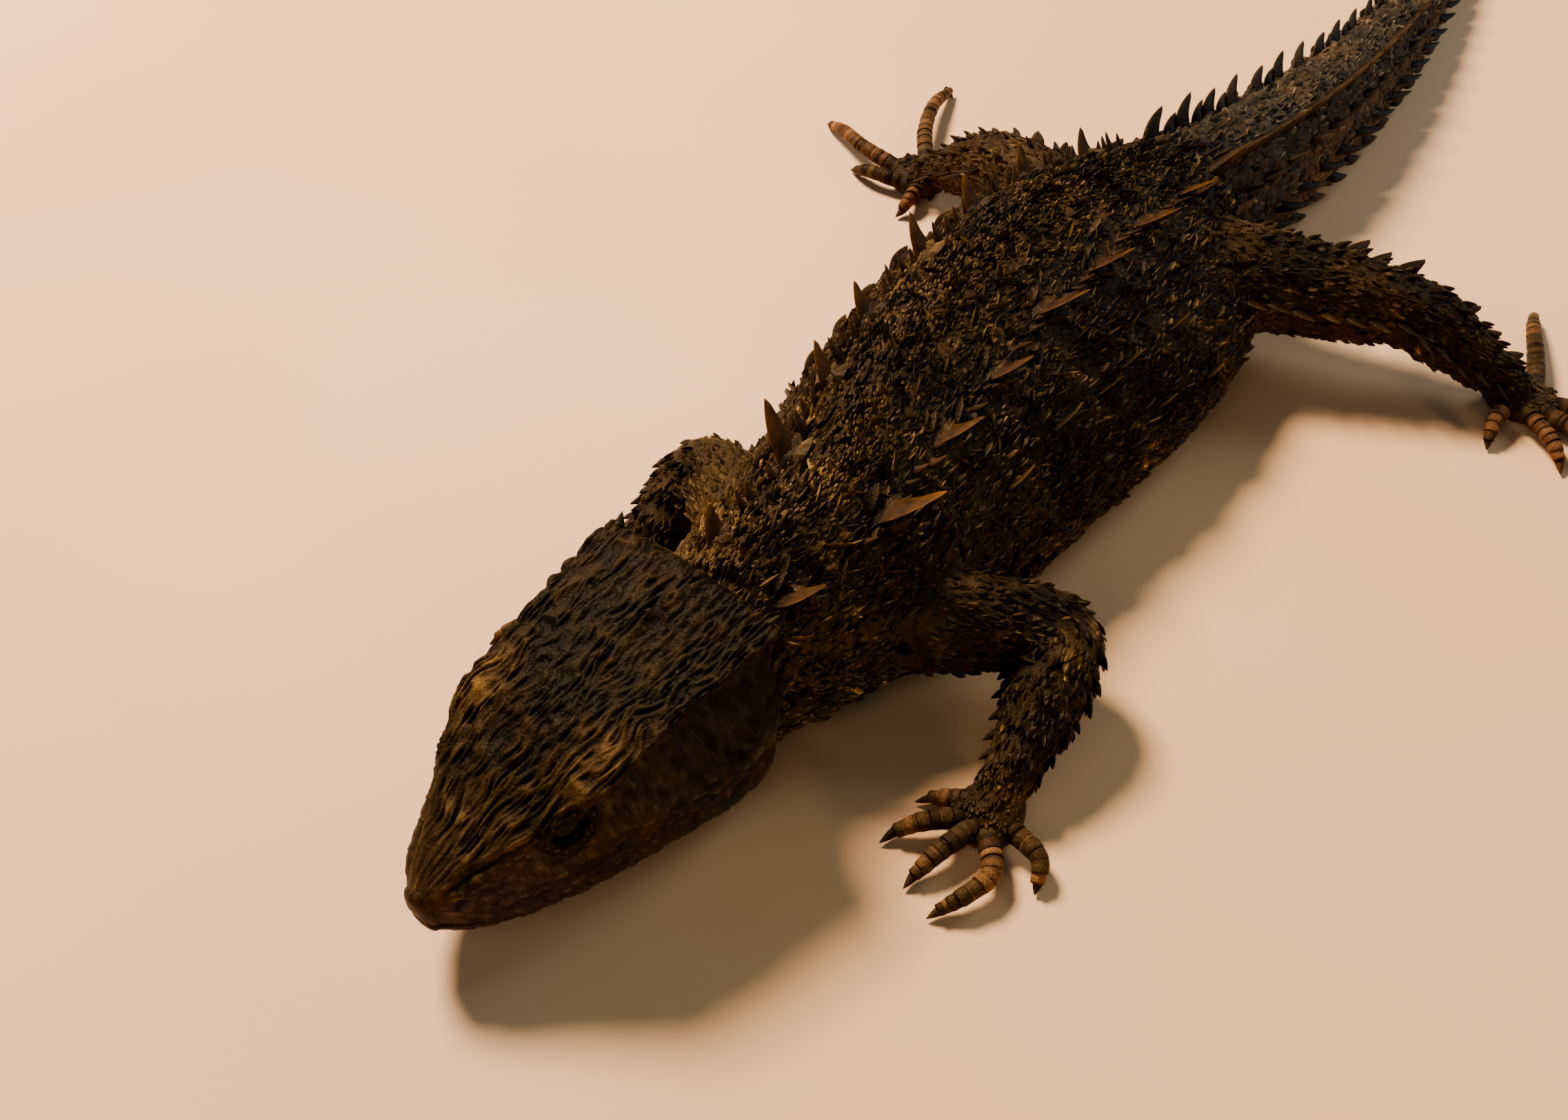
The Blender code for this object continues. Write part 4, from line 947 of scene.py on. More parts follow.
def head_rings():
    """Rings of the bare head, with how far back and at which key terms their points lie."""
    backs = HEAD[-1, 0] * np.linspace(0.0, 1.0, HEAD_RINGS)
    half, terms = head_sections(backs)
    right = half[:, 1:-1][:, ::-1] * np.array((-1.0, 1.0))
    section = np.concatenate([half, right], axis=1)
    shrink = (1.0 - COAT / np.maximum(np.abs(section).max(axis=(1, 2)), 3.0) * 0.8)[:, None, None]
    height = (curve(HEAD, 1, backs) + curve(HEAD, 11, backs)) / 2
    middle = np.stack([np.zeros(len(backs)), height], axis=-1)[:, None]
    section = round_snout(middle + (section - middle) * shrink, middle, backs)
    back = np.broadcast_to(backs[:, None], section.shape[:2])
    rings = head_place(back, section[..., 0], section[..., 1])
    nose = []
    centre = rings[0].mean(0)
    for size in NOSE_SIZES:
        bulge = NOSE_BULGE * math.sqrt(1 - size ** 2)
        nose.append(centre + (rings[0] - centre) * size + AHEAD * bulge)
    rings = np.concatenate([np.array(nose), rings])
    back = np.concatenate([np.full((len(nose), rings.shape[1]), -0.2), back])
    term = np.broadcast_to(np.concatenate([terms, terms[1:-1][::-1]]), back.shape)
    return rings, back.reshape(-1), term.reshape(-1)


def casque_edge(term, back, out):
    """Uneven lumps along the casque's edge, larger to the rear, and a rounded edge ahead."""
    side = np.sign(out)
    beat = back / 1.75 + noise(np.stack([back / 3.0, side * 4.0, back * 0], axis=-1), 45) * 2.0
    rim = bell(term, 2.0, 0.30)
    lump = np.abs(np.sin(np.pi * beat)) ** 0.7 * rim
    amount = (0.42 * lump - 0.2 * rim) * step(9, 17, back)
    return amount - 0.34 * bell(term, 2.0, 0.25) * step(9.5, 5.5, back) * step(0.5, 2.0, back)


def face_plates(term, back, out, height, on_side):
    """Plates along both lips and soft crescents behind the eye."""
    plate = np.abs(np.sin(np.pi * (back / 1.9 + 0.12 * np.sign(out)))) ** 0.35
    lips = bell(term, 6.2, 0.55) + bell(term, 7.9, 0.45)
    amount = 0.16 * (plate - 0.75) * lips * step(18.5, 16.5, back) * step(0.6, 1.6, back)
    eye_gap = np.hypot(back - EYE_BACK - 0.6, (height - EYE_HEIGHT) * 1.25)
    crescent = np.sin(eye_gap * 5.2) * step(6.2, 4.0, eye_gap) * step(2.3, 2.9, eye_gap)
    return amount + 0.19 * crescent * on_side * step(6.5, 9.0, back)


def mouth_line(term, back, height, sides):
    """The line of the mouth: along one key term, and level round the snout's tip."""
    first = len(NOSE_SIZES)
    at_line = np.argmin(np.abs(term[:sides // 2 + 1] - MOUTH_TERM))
    # levels is a view: the tip's own points on the line are set level with it in height too
    levels = height.reshape(-1, sides)[:, at_line]
    levels[:first] = levels[first]
    levels = np.repeat(levels, sides)
    front = step(3.0, 1.0, back)
    mouth = bell(term, MOUTH_TERM, 0.22) * (1 - front) * step(18.6, 17.4, back)
    return mouth + bell(height, levels, 0.17) * front, front


def openings(points):
    """The pits of nostrils and ears with the rims round them."""
    amount = np.zeros(len(points))
    for side in (1, -1):
        pit = head_place(NOSTRIL[0], side * NOSTRIL[1], NOSTRIL[2])
        gap = np.linalg.norm((points - pit) * (1.0, 1.0, 1.2), axis=1)
        amount += 0.14 * bell(gap, 0.8, 0.25) - 0.75 * bell(gap, 0.0, 0.42)
        ear = head_place(EAR[0], side * EAR[1], EAR[2])
        gap = np.linalg.norm((points - ear) * (1.0, 1.0, 0.8), axis=1)
        amount += 0.16 * bell(gap, 1.5, 0.35) - 0.55 * step(1.3, 0.7, gap)
    return amount


def socketed(points, term):
    """The points of the head with the sockets pressed in, in which the eyes lie."""
    for side in (1, -1):
        centre, look = eye_place(side)
        away = points - centre
        along = away @ look
        radial = np.linalg.norm(away - along[:, None] * look, axis=1)
        push = step(2.1, 1.75, radial) * (along > -0.5) * step(2.02, 2.5, term)
        points = points - look * (push * np.maximum(along + 0.9, 0.0))[:, None]
    return points


def make_head():
    """The head as one fine surface with wrinkles, scales, mouth line, nostrils and ears."""
    rings, back, term = head_rings()
    verts, quads, tris = loft(rings)
    piece = new_mesh("head_part", verts, as_list(quads, tris))
    normal = mesh_normals(piece)[:len(back)]
    bpy.data.objects.remove(piece, do_unlink=True)
    points = verts[:len(back)]
    _, out, height = head_terms(points)
    side = side_relief(points)
    on_crown = step(2.35, 1.85, term)
    on_side = 1 - on_crown
    snout = step(4.0, 1.5, back)
    relief = crown_relief(back, out) * on_crown + side * on_side
    relief = relief * (1 - snout * 0.5) + snout * 0.5 * side
    depth = CROWN_DEPTH * on_crown * (1 - snout * 0.4)
    depth += SIDE_DEPTH * on_side * (1 - snout * 0.5)
    depth *= step(26.5, 25.0, back) * step(-0.3, 1.2, back)
    amount = depth * (relief - 0.62)
    amount += casque_edge(term, back, out)
    amount += face_plates(term, back, out, height, on_side)
    swell = noise(points / 3.2, 46) - 0.5
    amount += 0.7 * swell * on_crown * step(3.0, 9.0, back)
    mouth, front = mouth_line(term, back, height, rings.shape[1])
    amount -= MOUTH_DEPTH * mouth * (1 - 0.3 * front)
    # A fold above the mouth, and the dip of the cheek between the casque's edge and the jaw
    amount += 0.16 * bell(term, MOUTH_TERM - 0.7, 0.35) * (1 - front) * step(18.6, 17.0, back)
    amount -= 0.35 * bell(term, 3.7, 0.7) * step(10, 15, back) * step(25, 22, back)
    amount += openings(points)
    verts[:len(back)] = socketed(points + normal * amount[:, None], term)
    verts[:, 2] = np.maximum(verts[:, 2], 0.03)
    # The relief drops to nothing along the mouth's line, so it is painted darkest: painted shade in its
    # groove
    return verts, quads, tris, np.concatenate([relief * (1 - mouth), [0.5, 0.5]])


def eye_place(side):
    """The middle of an eye and the way it looks: side 1 is the left one, -1 the right one."""
    centre = head_place(EYE_BACK, side * EYE_OUT, EYE_HEIGHT)
    return centre, head_way(EYE_LOOK[0], side * EYE_LOOK[1], EYE_LOOK[2])


def eye_axes(side):
    """The middle of an eye, the way it looks, and the ways ahead and up across that."""
    centre, look = eye_place(side)
    ahead = unit(AHEAD - look * np.dot(AHEAD, look))
    up = np.cross(look, ahead) * side
    if up[2] < 0:
        up = -up
    return centre, look, ahead, up


def make_eye(side, material):
    """A fine round eye whose relief runs from 0 behind to 1 at its pupil."""
    centre, look, ahead, up = eye_axes(side)
    rise = np.linspace(0.02, np.pi - 0.02, EYE_MESH[0])
    angle = np.linspace(0, 2 * np.pi, EYE_MESH[1], endpoint=False)
    ring = (ahead * np.cos(angle)[:, None] + up * np.sin(angle)[:, None])[None]
    shape = look * np.cos(rise)[:, None, None] + ring * np.sin(rise)[:, None, None]
    verts, quads, tris = loft(centre + shape * (EYE_RADIUS - 0.04))
    name = "eyeball_l" if side > 0 else "eyeball_r"
    eye = new_mesh(name, verts, as_list(quads[:, ::side], tris[:, ::side]))
    facing = np.clip(unit(verts - centre) @ look, 0, 1)
    set_values(eye, "relief", facing ** 2)
    set_colours(eye, "tint", np.full((len(verts), 3), 0.02))
    finish_piece(eye, material)
    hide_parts("eye_l" if side > 0 else "eye_r")


def lid_rows(side):
    """Rings of the lids from their almond opening outwards, and the ways out across the eye."""
    centre, look, ahead, up = eye_axes(side)
    rings, count = LID_MESH
    angle = np.linspace(0, 2 * np.pi, count, endpoint=False) * side
    across = LID_OPEN[0] * powered(np.cos(angle), 0.85)
    height = np.where(np.sin(angle) > 0, LID_OPEN[1], LID_OPEN[2]) * powered(np.sin(angle), 1.1)
    radial = ahead * np.cos(angle)[:, None] + up * np.sin(angle)[:, None]
    inner = ahead * across[:, None] + up * height[:, None]
    inner_reach = np.linalg.norm(inner, axis=1)
    outer = LID_OUTER - 0.45 * np.maximum(np.sin(angle * side), 0.0)
    rows = []
    for i in range(rings):
        share = i / (rings - 1)
        reach = inner_reach + (outer - inner_reach) * share
        away = unit(unit(inner) * (1 - share) + radial * share)
        swell = 1.98 + 0.52 * math.sin(math.pi * min(1.0, share * 1.15)) ** 0.8
        depth = np.sqrt(np.maximum(swell ** 2 - reach ** 2, 0.0))
        depth = np.maximum(depth, 0.55 + 0.5 * (1 - share))
        if i == 0:
            depth = np.sqrt(np.maximum(1.60 ** 2 - reach ** 2, 0.05))
        wave = 0.10 * math.sin(share * 19.0) * min(1.0, share * 4.0)
        rows.append(centre + away * reach[:, None] + look * (depth + wave)[:, None])
    return np.array(rows), radial


def settle_lids(rows, radial, centre, look, snap):
    """Draw the outer rings of the lids to the skin, and keep all below the crown's edge."""
    rings, count = LID_MESH
    for k in range(count):
        start = centre + radial[k] * LID_OUTER + look * 4.5
        hit = snap.tree.ray_cast(Vector(start), Vector(-look), 6.0)
        goal = np.array(hit[0]) - look * 0.25 if hit[0] is not None else rows[-1, k]
        goal_depth = float(np.clip(np.dot(goal - centre, look), -0.6, 1.9))
        for i in range(rings):
            own = np.dot(rows[i, k] - centre, look)
            pull = float(step(0.45, 1.0, i / (rings - 1)))
            rows[i, k] += look * ((goal_depth - own) * pull)
    behind, _, tall = head_terms(rows)
    limit = curve(HEAD, 3, np.clip(behind, 0, 20)) - 0.25
    rows[..., 2] -= np.maximum(tall - limit, 0.0)


def make_lids(side, snap, material):
    """The lids round an eye: a ring from its almond opening out to the skin of the head."""
    centre, look, _, _ = eye_axes(side)
    rows, radial = lid_rows(side)
    settle_lids(rows, radial, centre, look, snap)
    grain = cells(rows / 0.42, 61)
    share = np.linspace(0, 1, LID_MESH[0])[:, None]
    rows = rows + look * (0.19 * (grain - 0.4) * step(0.05, 0.2, share))[..., None]
    back = centre + (rows[::-1] - look * 0.5 - centre) * 0.97
    shell = np.concatenate([rows, back])
    verts = shell.reshape(-1, 3)
    count = LID_MESH[1]
    j = np.arange(count)
    k = (j + 1) % count
    base = (len(shell) - 1) * count
    seam = np.stack([base + j, base + k, k, j], axis=-1)
    name = "lids_l" if side > 0 else "lids_r"
    lids = new_mesh(name, verts, np.concatenate([grid_faces(len(shell), count), seam]))
    # The inner shell gets a third of the relief, so it is painted darker: painted shade under the lids
    set_values(lids, "relief", np.concatenate([grain, grain[::-1] * 0.3]).reshape(-1))
    set_colours(lids, "tint", markings(verts) * 0.9)
    finish_piece(lids, material)


def digit_line(places, rise, middle):
    """The centre line of a digit from inside the palm to its last joint."""
    count = len(places)
    path = []
    for k, (x, y) in enumerate(places):
        share = k / (count - 1)
        arch = rise * math.sin(math.pi * min(1.0, share * 0.9 + 0.1))
        path.append((x, y, DIGIT_ROOT + (DIGIT_END - DIGIT_ROOT) * share + arch))
    path = [tuple(np.array(path[0]) * 0.55 + middle * 0.45)] + path
    return np.array(path)


def make_digits():
    """All digits as jointed tubes, with the lines that their scales and claws follow."""
    shapes, reliefs, lines = [], [], []
    for limb, spec in FEET.items():
        x, y = spec["palm"][0]
        middle = np.array((x, y, PALM_HEIGHT - 0.2))
        for places, tip, rise in spec["digits"]:
            path = spline(digit_line(places, rise, middle), DIGIT_MESH[0])
            length = lengths(path)
            share = length / length[-1]
            joints = max(2, round((length[-1] - 1.0) / 1.25))
            wave = np.abs(np.sin(np.pi * (share * joints))) ** 0.6
            radii = DIGIT_RADIUS * (1.12 - 0.38 * share) * (0.93 + 0.07 * wave)
            radii = radii * (1.0 - 0.25 * np.clip((share - 0.75) / 0.25, 0, 1) ** 1.5)
            rings = tube(path, radii, DIGIT_MESH[1])
            rings[..., 2] = np.maximum(rings[..., 2], 0.03)
            shapes.append(loft(rings))
            ring_relief = np.repeat(wave * 0.8 + 0.1, DIGIT_MESH[1])
            reliefs.append(np.concatenate([ring_relief, [0.5, 0.5]]))
            lines.append((limb, path, radii, np.array(tip)))
    return shapes, np.concatenate(reliefs), lines


def make_skin():
    """One skin over trunk, tail, limbs, head and digits."""
    body_points, core, body_values = make_body()
    body_faces = [tuple(p.vertices) for p in core.data.polygons]
    bpy.data.objects.remove(core, do_unlink=True)
    head_verts, head_quads, head_tris, head_values = make_head()
    digit_shapes, digit_values, lines = make_digits()
    digit_verts, digit_faces = join_shapes(digit_shapes)
    start = len(body_points)
    faces = body_faces + [tuple(f + start) for f in as_list(head_quads, head_tris)]
    start += len(head_verts)
    faces += [tuple(np.asarray(f) + start) for f in digit_faces]
    verts = np.concatenate([body_points, head_verts, digit_verts])
    skin = new_mesh("skin", verts, faces)
    values = np.concatenate([body_values, head_values, digit_values])
    set_values(skin, "relief", values)
    set_colours(skin, "tint", markings(verts))
    return skin, verts, faces, lines


# Coat: shapes of single scales, in shares of length, width and height
def template(points, faces, tones=None):
    """A small closed shape: points along, across and up, faces, and tones from 0 to 1."""
    points = np.array(points, float)
    if tones is None:
        tones = points[:, 2] - points[:, 2].min()
        tones = tones / tones.max()
    return points, np.array(faces, int), np.array(tones, float)


KEELED = template(
    (
        (0.00, 0.00, -0.05), (0.32, 0.00, 0.55), (0.72, 0.00, 0.78), (1.06, 0.00, 0.50),
        (0.08, -0.38, -0.15), (0.48, -0.52, 0.02), (0.84, -0.34, 0.22),
        (0.08, 0.38, -0.15), (0.48, 0.52, 0.02), (0.84, 0.34, 0.22),
        (0.60, 0.00, -0.10),
    ),
    (
        (0, 4, 5), (0, 5, 1), (1, 5, 6), (1, 6, 2), (2, 6, 3),
        (0, 8, 7), (0, 1, 8), (1, 9, 8), (1, 2, 9), (2, 3, 9),
        (4, 10, 5), (5, 10, 6), (6, 10, 3), (3, 10, 9), (9, 10, 8), (8, 10, 7),
        (7, 10, 0), (0, 10, 4),
    ),
)

GRAIN = template(
    (
        (0.0, 0.0, -0.2), (0.3, -0.5, -0.2), (0.8, -0.42, -0.2), (1.0, 0.0, -0.2),
        (0.8, 0.42, -0.2), (0.3, 0.5, -0.2),
        (0.28, -0.14, 0.42), (0.62, -0.16, 0.55), (0.80, 0.0, 0.62), (0.62, 0.16, 0.55),
        (0.28, 0.14, 0.42),
    ),
    (
        (0, 1, 6), (1, 2, 7), (1, 7, 6), (2, 3, 8), (2, 8, 7), (3, 4, 8), (4, 9, 8), (4, 5, 9),
        (5, 10, 9), (5, 0, 10), (0, 6, 10), (6, 7, 10), (7, 9, 10), (7, 8, 9),
        (0, 2, 1), (0, 3, 2), (0, 4, 3), (0, 5, 4),
    ),
)

SLIVER = template(
    (
        (0.0, 0.0, -0.3), (0.25, -0.5, -0.3), (0.70, -0.38, -0.2), (1.05, 0.0, 0.30),
        (0.70, 0.38, -0.2), (0.25, 0.5, -0.3), (0.22, 0.0, 0.45), (0.66, 0.0, 0.80),
    ),
    (
        (0, 1, 6), (1, 2, 7), (1, 7, 6), (2, 3, 7), (0, 6, 5), (5, 6, 7), (5, 7, 4), (4, 7, 3),
        (0, 2, 1), (0, 5, 2), (5, 4, 2), (4, 3, 2),
    ),
)


def tower_faces(levels, sides):
    """Triangles of rings on top of each other, closed by a tip and a foot as last two points."""
    faces = []
    for i in range(levels - 1):
        for k in range(sides):
            a, b = i * sides + k, i * sides + (k + 1) % sides
            faces += [(a, b, b + sides), (a, b + sides, a + sides)]
    tip, foot, top = levels * sides, levels * sides + 1, (levels - 1) * sides
    for k in range(sides):
        after = (k + 1) % sides
        faces += [(top + k, top + after, tip), (after, k, foot)]
    return faces


def thorn(levels=5, sides=8, bulge=0.5, curl=0.8):
    """A bent thorn with an oval foot."""
    points = []
    for i in range(levels):
        rise = i / levels
        wide = (1 - rise) * (1 + bulge * rise)
        for k in range(sides):
            angle = 2 * math.pi * k / sides
            points.append((
                0.5 + math.cos(angle) * 0.5 * wide + curl * rise ** 1.6,
                math.sin(angle) * 0.5 * wide, -0.25 + rise * 1.25))
    points += [(0.5 + curl, 0.0, 1.0), (0.5, 0.0, -0.25)]
    return template(points, tower_faces(levels, sides))


def shark_fin(levels=8, sides=12, grooves=0.0):
    """A flat blade with a rounded front, a hollow rear and a tip that curls back."""
    points, tones = [], []
    for i in range(levels):
        rise = (i / levels) ** 0.85
        front = -0.5 + 0.88 * rise ** 2.4
        rear = 0.5 - 0.19 * math.sin(math.pi * min(1.0, rise * 1.15)) - 0.12 * rise ** 2
        for k in range(sides):
            angle = 2 * math.pi * k / sides
            reach = math.cos(angle)
            along = (front + rear) / 2 + reach * (rear - front) / 2
            ridge = 1 - grooves * (0.5 - 0.5 * math.cos(angle * sides / 2))
            thick = math.sin(angle) * (1 - 0.55 * abs(reach)) * (1 - rise) ** 0.9 * 0.5 * ridge
            points.append((along, thick, -0.3 + rise * 1.3))
            tones.append(min(1.0, 0.15 + 0.45 * rise ** 1.5 + 0.6 * abs(reach) ** 8 * rise ** 0.5))
    points += [(0.38, 0.0, 1.0), (0.0, 0.0, -0.3)]
    tones += [1.0, 0.0]
    return template(points, tower_faces(levels, sides), tones)


def scute_band(steps=12, sides=8):
    """A soft low band that lies over the top and sides of a digit, with its foot on the midline."""
    points, faces = [], []
    for i in range(steps + 1):
        angle = math.radians(-115 + 230 * i / steps)
        fade = math.sin(math.pi * (0.06 + 0.88 * i / steps)) ** 0.4
        for k in range(sides):
            turn = 2 * math.pi * k / sides
            reach = 0.5 + 0.040 * math.sin(turn) * fade
            points.append((0.5 * math.cos(turn) * fade, math.sin(angle) * reach, math.cos(angle) * reach))
    tones = [0.35 + 0.4 * math.sin(2 * math.pi * (i % sides) / sides) for i in range(len(points))]
    for i in range(steps):
        for k in range(sides):
            a, b = i * sides + k, i * sides + (k + 1) % sides
            faces += [(a, b + sides, b), (a, a + sides, b + sides)]
    last = steps * sides
    for k in range(1, sides - 1):
        faces += [(0, k, k + 1), (last, last + k + 1, last + k)]
    return template(points, faces, tones)


THORN = thorn()
BAND = scute_band()
FIN = shark_fin()
TALL_FIN = shark_fin(16, 32, 0.30)
CLAW = thorn(10, 14, 1.3, 0.60)


def coat_piece(name, shape, spots, material, smooth=False, tip=None, spread=0.42, fleck_and_glint=0.0):
    """Joined copies of one small shape. Spots are rows of place, way, out, size and map place."""
    base, faces, tones = shape
    root, way, out, size, chart = (np.array(column, float) for column in zip(*spots))
    way = unit(way - out * np.sum(way * out, axis=1, keepdims=True))
    across = np.cross(out, way)
    local = base[None] * size[:, None]
    verts = (root[:, None] + way[:, None] * local[..., 0:1] + across[:, None] * local[..., 1:2]
             + out[:, None] * local[..., 2:3])
    count = base.shape[0]
    verts = verts.reshape(-1, 3)
    verts[:, 2] = np.maximum(verts[:, 2], 0.02)
    all_faces = (faces[None] + (np.arange(len(spots)) * count)[:, None, None]).reshape(-1, 3)
    piece = new_mesh(name, verts, all_faces, smooth)
    vary = rng.uniform(-0.14, 0.14, len(spots))
    set_values(piece, "relief", np.clip(tones[None] + vary[:, None], 0, 1).reshape(-1))
    tint = markings(root)
    tint = tint * np.minimum(np.exp(rng.normal(0.0, spread, (len(spots), 1))), 3.2)
    # Ochre flecks on some scales: partly their own colour, partly painted warm glints
    tint = blend(tint, OCHRE * 0.55, (rng.random(len(spots)) < fleck_and_glint) * rng.uniform(0.2, 0.8, len(spots)))
    tint = np.repeat(tint[:, None], count, axis=1)
    if tip is not None:
        tint = blend(tint * 0.5 + tip * 0.2, tip, np.broadcast_to(tones ** 1.4, tint.shape[:2]))
    set_colours(piece, "tint", tint.reshape(-1, 3))
    patch = np.stack([base[:, 0] - 0.5, base[:, 1]], axis=-1) * 0.003
    chart_points = (chart[:, None] + patch[None]).reshape(-1, 2)
    layer = piece.data.uv_layers.new(name="OFBake")
    layer.data.foreach_set("uv", chart_points[all_faces.reshape(-1)].reshape(-1).astype(np.float32))
    finish_piece(piece, material)


def chart_place(part, along, around):
    """A place on the map of one part of the skin."""
    left, low, width, height = CHARTS[part]
    return (left + width * float(np.clip(along, 0, 1)), low + height * (around % 1.0))


class Snap:
    """Finds the nearest place on the skin."""

    def __init__(self, verts, faces):
        """Keep the skin as a tree that can be searched."""
        points = [Vector(v) for v in verts]
        self.tree = BVHTree.FromPolygons(points, [tuple(int(i) for i in f) for f in faces])

    def near(self, point, reach):
        """The nearest place and the way out of the skin there, or nothing within reach."""
        place, normal, _, _ = self.tree.find_nearest(Vector(point), reach)
        if place is None:
            return None
        return np.array(place), np.array(normal)


def trunk_spots(snap, reach, pitch, turns, size, lie, sink, share, stray):
    """Spots spread over the trunk or tail in offset rows between two places along it."""
    spots = []
    x, row = reach[0], 0
    while x > reach[1]:
        half = float(curve(TRUNK, 3, x))
        taper = 1.0 if x > -30 else max(0.32, half / 6.5)
        spread = 2 * math.pi * (half * 0.55 + float(curve(TRUNK, 5, x)) * 0.28)
        count = max(6, int(spread / pitch[1] / taper ** 0.5))
        turn = (np.arange(count) + 0.5 * (row % 2)) / count - 0.5
        turn = turn[(np.abs(turn) >= turns[0]) & (np.abs(turn) <= turns[1])]
        turn = turn[rng.random(len(turn)) < share]
        turn = turn + rng.uniform(-JITTER, JITTER, len(turn)) / count
        here = x + rng.uniform(-JITTER, JITTER, len(turn)) * pitch[0]
        points = trunk_surface(here, turn, -COAT)
        ahead = unit(trunk_surface(here - 0.6, turn, -COAT) - trunk_surface(here + 0.6, turn, -COAT))
        for k in range(len(turn)):
            if not outside_head(points[k]):
                continue
            found = snap.near(points[k], 0.55)
            if found is None:
                continue
            place, normal = found
            way = ahead[k] + rng.normal(0, stray, 3) + normal * lie
            grow = rng.uniform(0.55, 1.45)
            dims = np.array(size) * grow * taper * rng.uniform(0.8, 1.25, 3)
            chart = trunk_chart(here[k], turn[k])
            spots.append((place - normal * sink * taper, way, normal, dims, chart))
        x -= pitch[0] * taper
        row += 1
    return spots


def limb_spots(snap, limb, shares, pitch, size, sink):
    """Spots spread round a limb in offset rows between two shares of its length."""
    path, widths, length = limb_path(limb, LIMB_STEPS)
    way, side, over = path_frames(path)
    spots, row = [], 0
    at = shares[0] * length[-1]
    while at < shares[1] * length[-1]:
        i = int(np.clip(np.searchsorted(length, at), 1, LIMB_STEPS - 1))
        radius = widths[i]
        count = max(5, int(2 * math.pi * radius / pitch[1]))
        for k in range(count):
            angle = 2 * math.pi * (k + 0.5 * (row % 2)) / count + rng.uniform(-0.2, 0.2) / count
            radial = side[i] * math.cos(angle) + over[i] * math.sin(angle)
            point = path[i] + radial * radius
            found = snap.near(point, 0.7)
            if found is None:
                continue
            place, normal = found
            if np.dot(normal, radial) < 0.2:
                continue
            lie = way[i] + rng.normal(0, 0.3, 3)
            grow = rng.uniform(0.65, 1.4) * (0.6 + 0.4 * min(1.0, radius / 2.6))
            chart = chart_place(limb, at / length[-1], angle / (2 * math.pi))
            spots.append((place - normal * sink, lie, normal, np.array(size) * grow, chart))
        at += pitch[0]
        row += 1
    return spots


def back_frame(x, turn, grow=-COAT):
    """A place on the trunk with the way out of it and the way back along it."""
    here = trunk_surface(x, turn, grow)
    back = unit(trunk_surface(x - 1.0, turn, grow) - trunk_surface(x + 1.0, turn, grow))
    around = trunk_surface(x, turn + 0.01, grow) - trunk_surface(x, turn - 0.01, grow)
    out = unit(np.cross(around, back))
    middle = np.array((x, float(curve(TRUNK, 1, x)), float(curve(TRUNK, 5, x)) * 0.4))
    if np.dot(out, here - middle) < 0:
        out = -out
    return here, out, back


def trunk_chart(x, turn):
    """The map place of a spot on the trunk or tail."""
    return chart_place("trunk", (38 - x) / 163, turn + 0.5)


def fin_stance(x, side, offset):
    """Where a spine of the fin rows stands, the way of its foot and the way it points."""
    splay = math.radians(FIN_SPLAY[side])
    rise = np.array((0.0, side * math.sin(splay), math.cos(splay)))
    turn = turn_at(x, side * offset)
    root, out, back = back_frame(x, turn)
    up = unit(out * 0.3 + rise * 0.7)
    way = unit(back - up * np.dot(back, up))
    up = unit(up + back * FIN_BACK[side])
    return root, unit(way - up * np.dot(way, up)), up, turn


def fin_spots():
    """The tall fins in their two rows along the edges of the back."""
    spots = []
    for side in (1, -1):
        for x, offset, growth in FINS:
            root, way, up, turn = fin_stance(x + 0.5, side, offset)
            length = FIN_LENGTH * (0.60 + 0.35 * growth) * rng.uniform(0.88, 0.98)
            tall = 1.12 if side > 0 else 1.02
            height = (FIN_HEIGHT * growth * rng.uniform(0.97, 1.05) + COAT) * tall
            thick = FIN_THICK[side] * growth ** 0.5
            spots.append((root, way, up, (length, thick, height), trunk_chart(x, turn)))
    return spots


def mound_spots():
    """Broad keeled plates in which the tall fins stand."""
    spots = []
    for side in (1, -1):
        for x, offset, growth in FINS:
            root, way, up, turn = fin_stance(x + 0.5, side, offset)
            _, out, back = back_frame(x, turn)
            across = np.cross(out, back)
            for shift, turned, grow in ((0.0, 0.0, 1.0), (0.5, 0.5, 0.7), (-0.5, -0.5, 0.7)):
                dims = np.array((3.4, 2.0, 1.1)) * (0.45 + 0.55 * growth) * grow
                way = back + across * turned
                place = root - back * dims[0] * 0.62 + across * shift * 1.2
                spots.append((place, way, unit(out + up * 0.6), dims, trunk_chart(x, turn)))
    return spots


def ridge_spots():
    """Small teeth that fill the gaps between the fins."""
    spots = []
    for side in (1, -1):
        ends = zip(FINS, FINS[1:] + ((-30.5, 4.0, 0.5),))
        for (first, near, _), (second, far, _) in ends:
            for k in range(4):
                share = 0.24 + 0.56 * (k + rng.uniform(-0.2, 0.2)) / 3
                x = first + (second - first) * share
                offset = near + (far - near) * share + rng.uniform(-0.1, 0.5)
                root, way, up, turn = fin_stance(x, side, offset)
                height = rng.uniform(0.85, 1.5) * (0.6 if side > 0 else 1.0)
                spots.append((root, way, up, (rng.uniform(1.0, 1.4), 0.75, height + 0.25),
                              trunk_chart(x, turn)))
    return spots


def blade_spots():
    """Long thin scales in two loose rows down each flank."""
    spots = []
    for turn, gap, tall in ((0.165, 5.2, 1.9), (0.215, 6.4, 1.6)):
        x = 14.0 - rng.uniform(0, gap)
        while x > -27.0:
            for side in (1, -1):
                here = x + rng.uniform(-1.2, 1.2)
                spin = side * (turn + rng.uniform(-0.01, 0.01))
                root, out, back = back_frame(here, spin)
                size = tall * rng.uniform(0.75, 1.2)
                up = unit(out * 0.55 + back * 0.9)
                spots.append((root, back, up, (size * 0.8, 0.42, size + 0.3), trunk_chart(here, spin)))
            x -= gap
    return spots


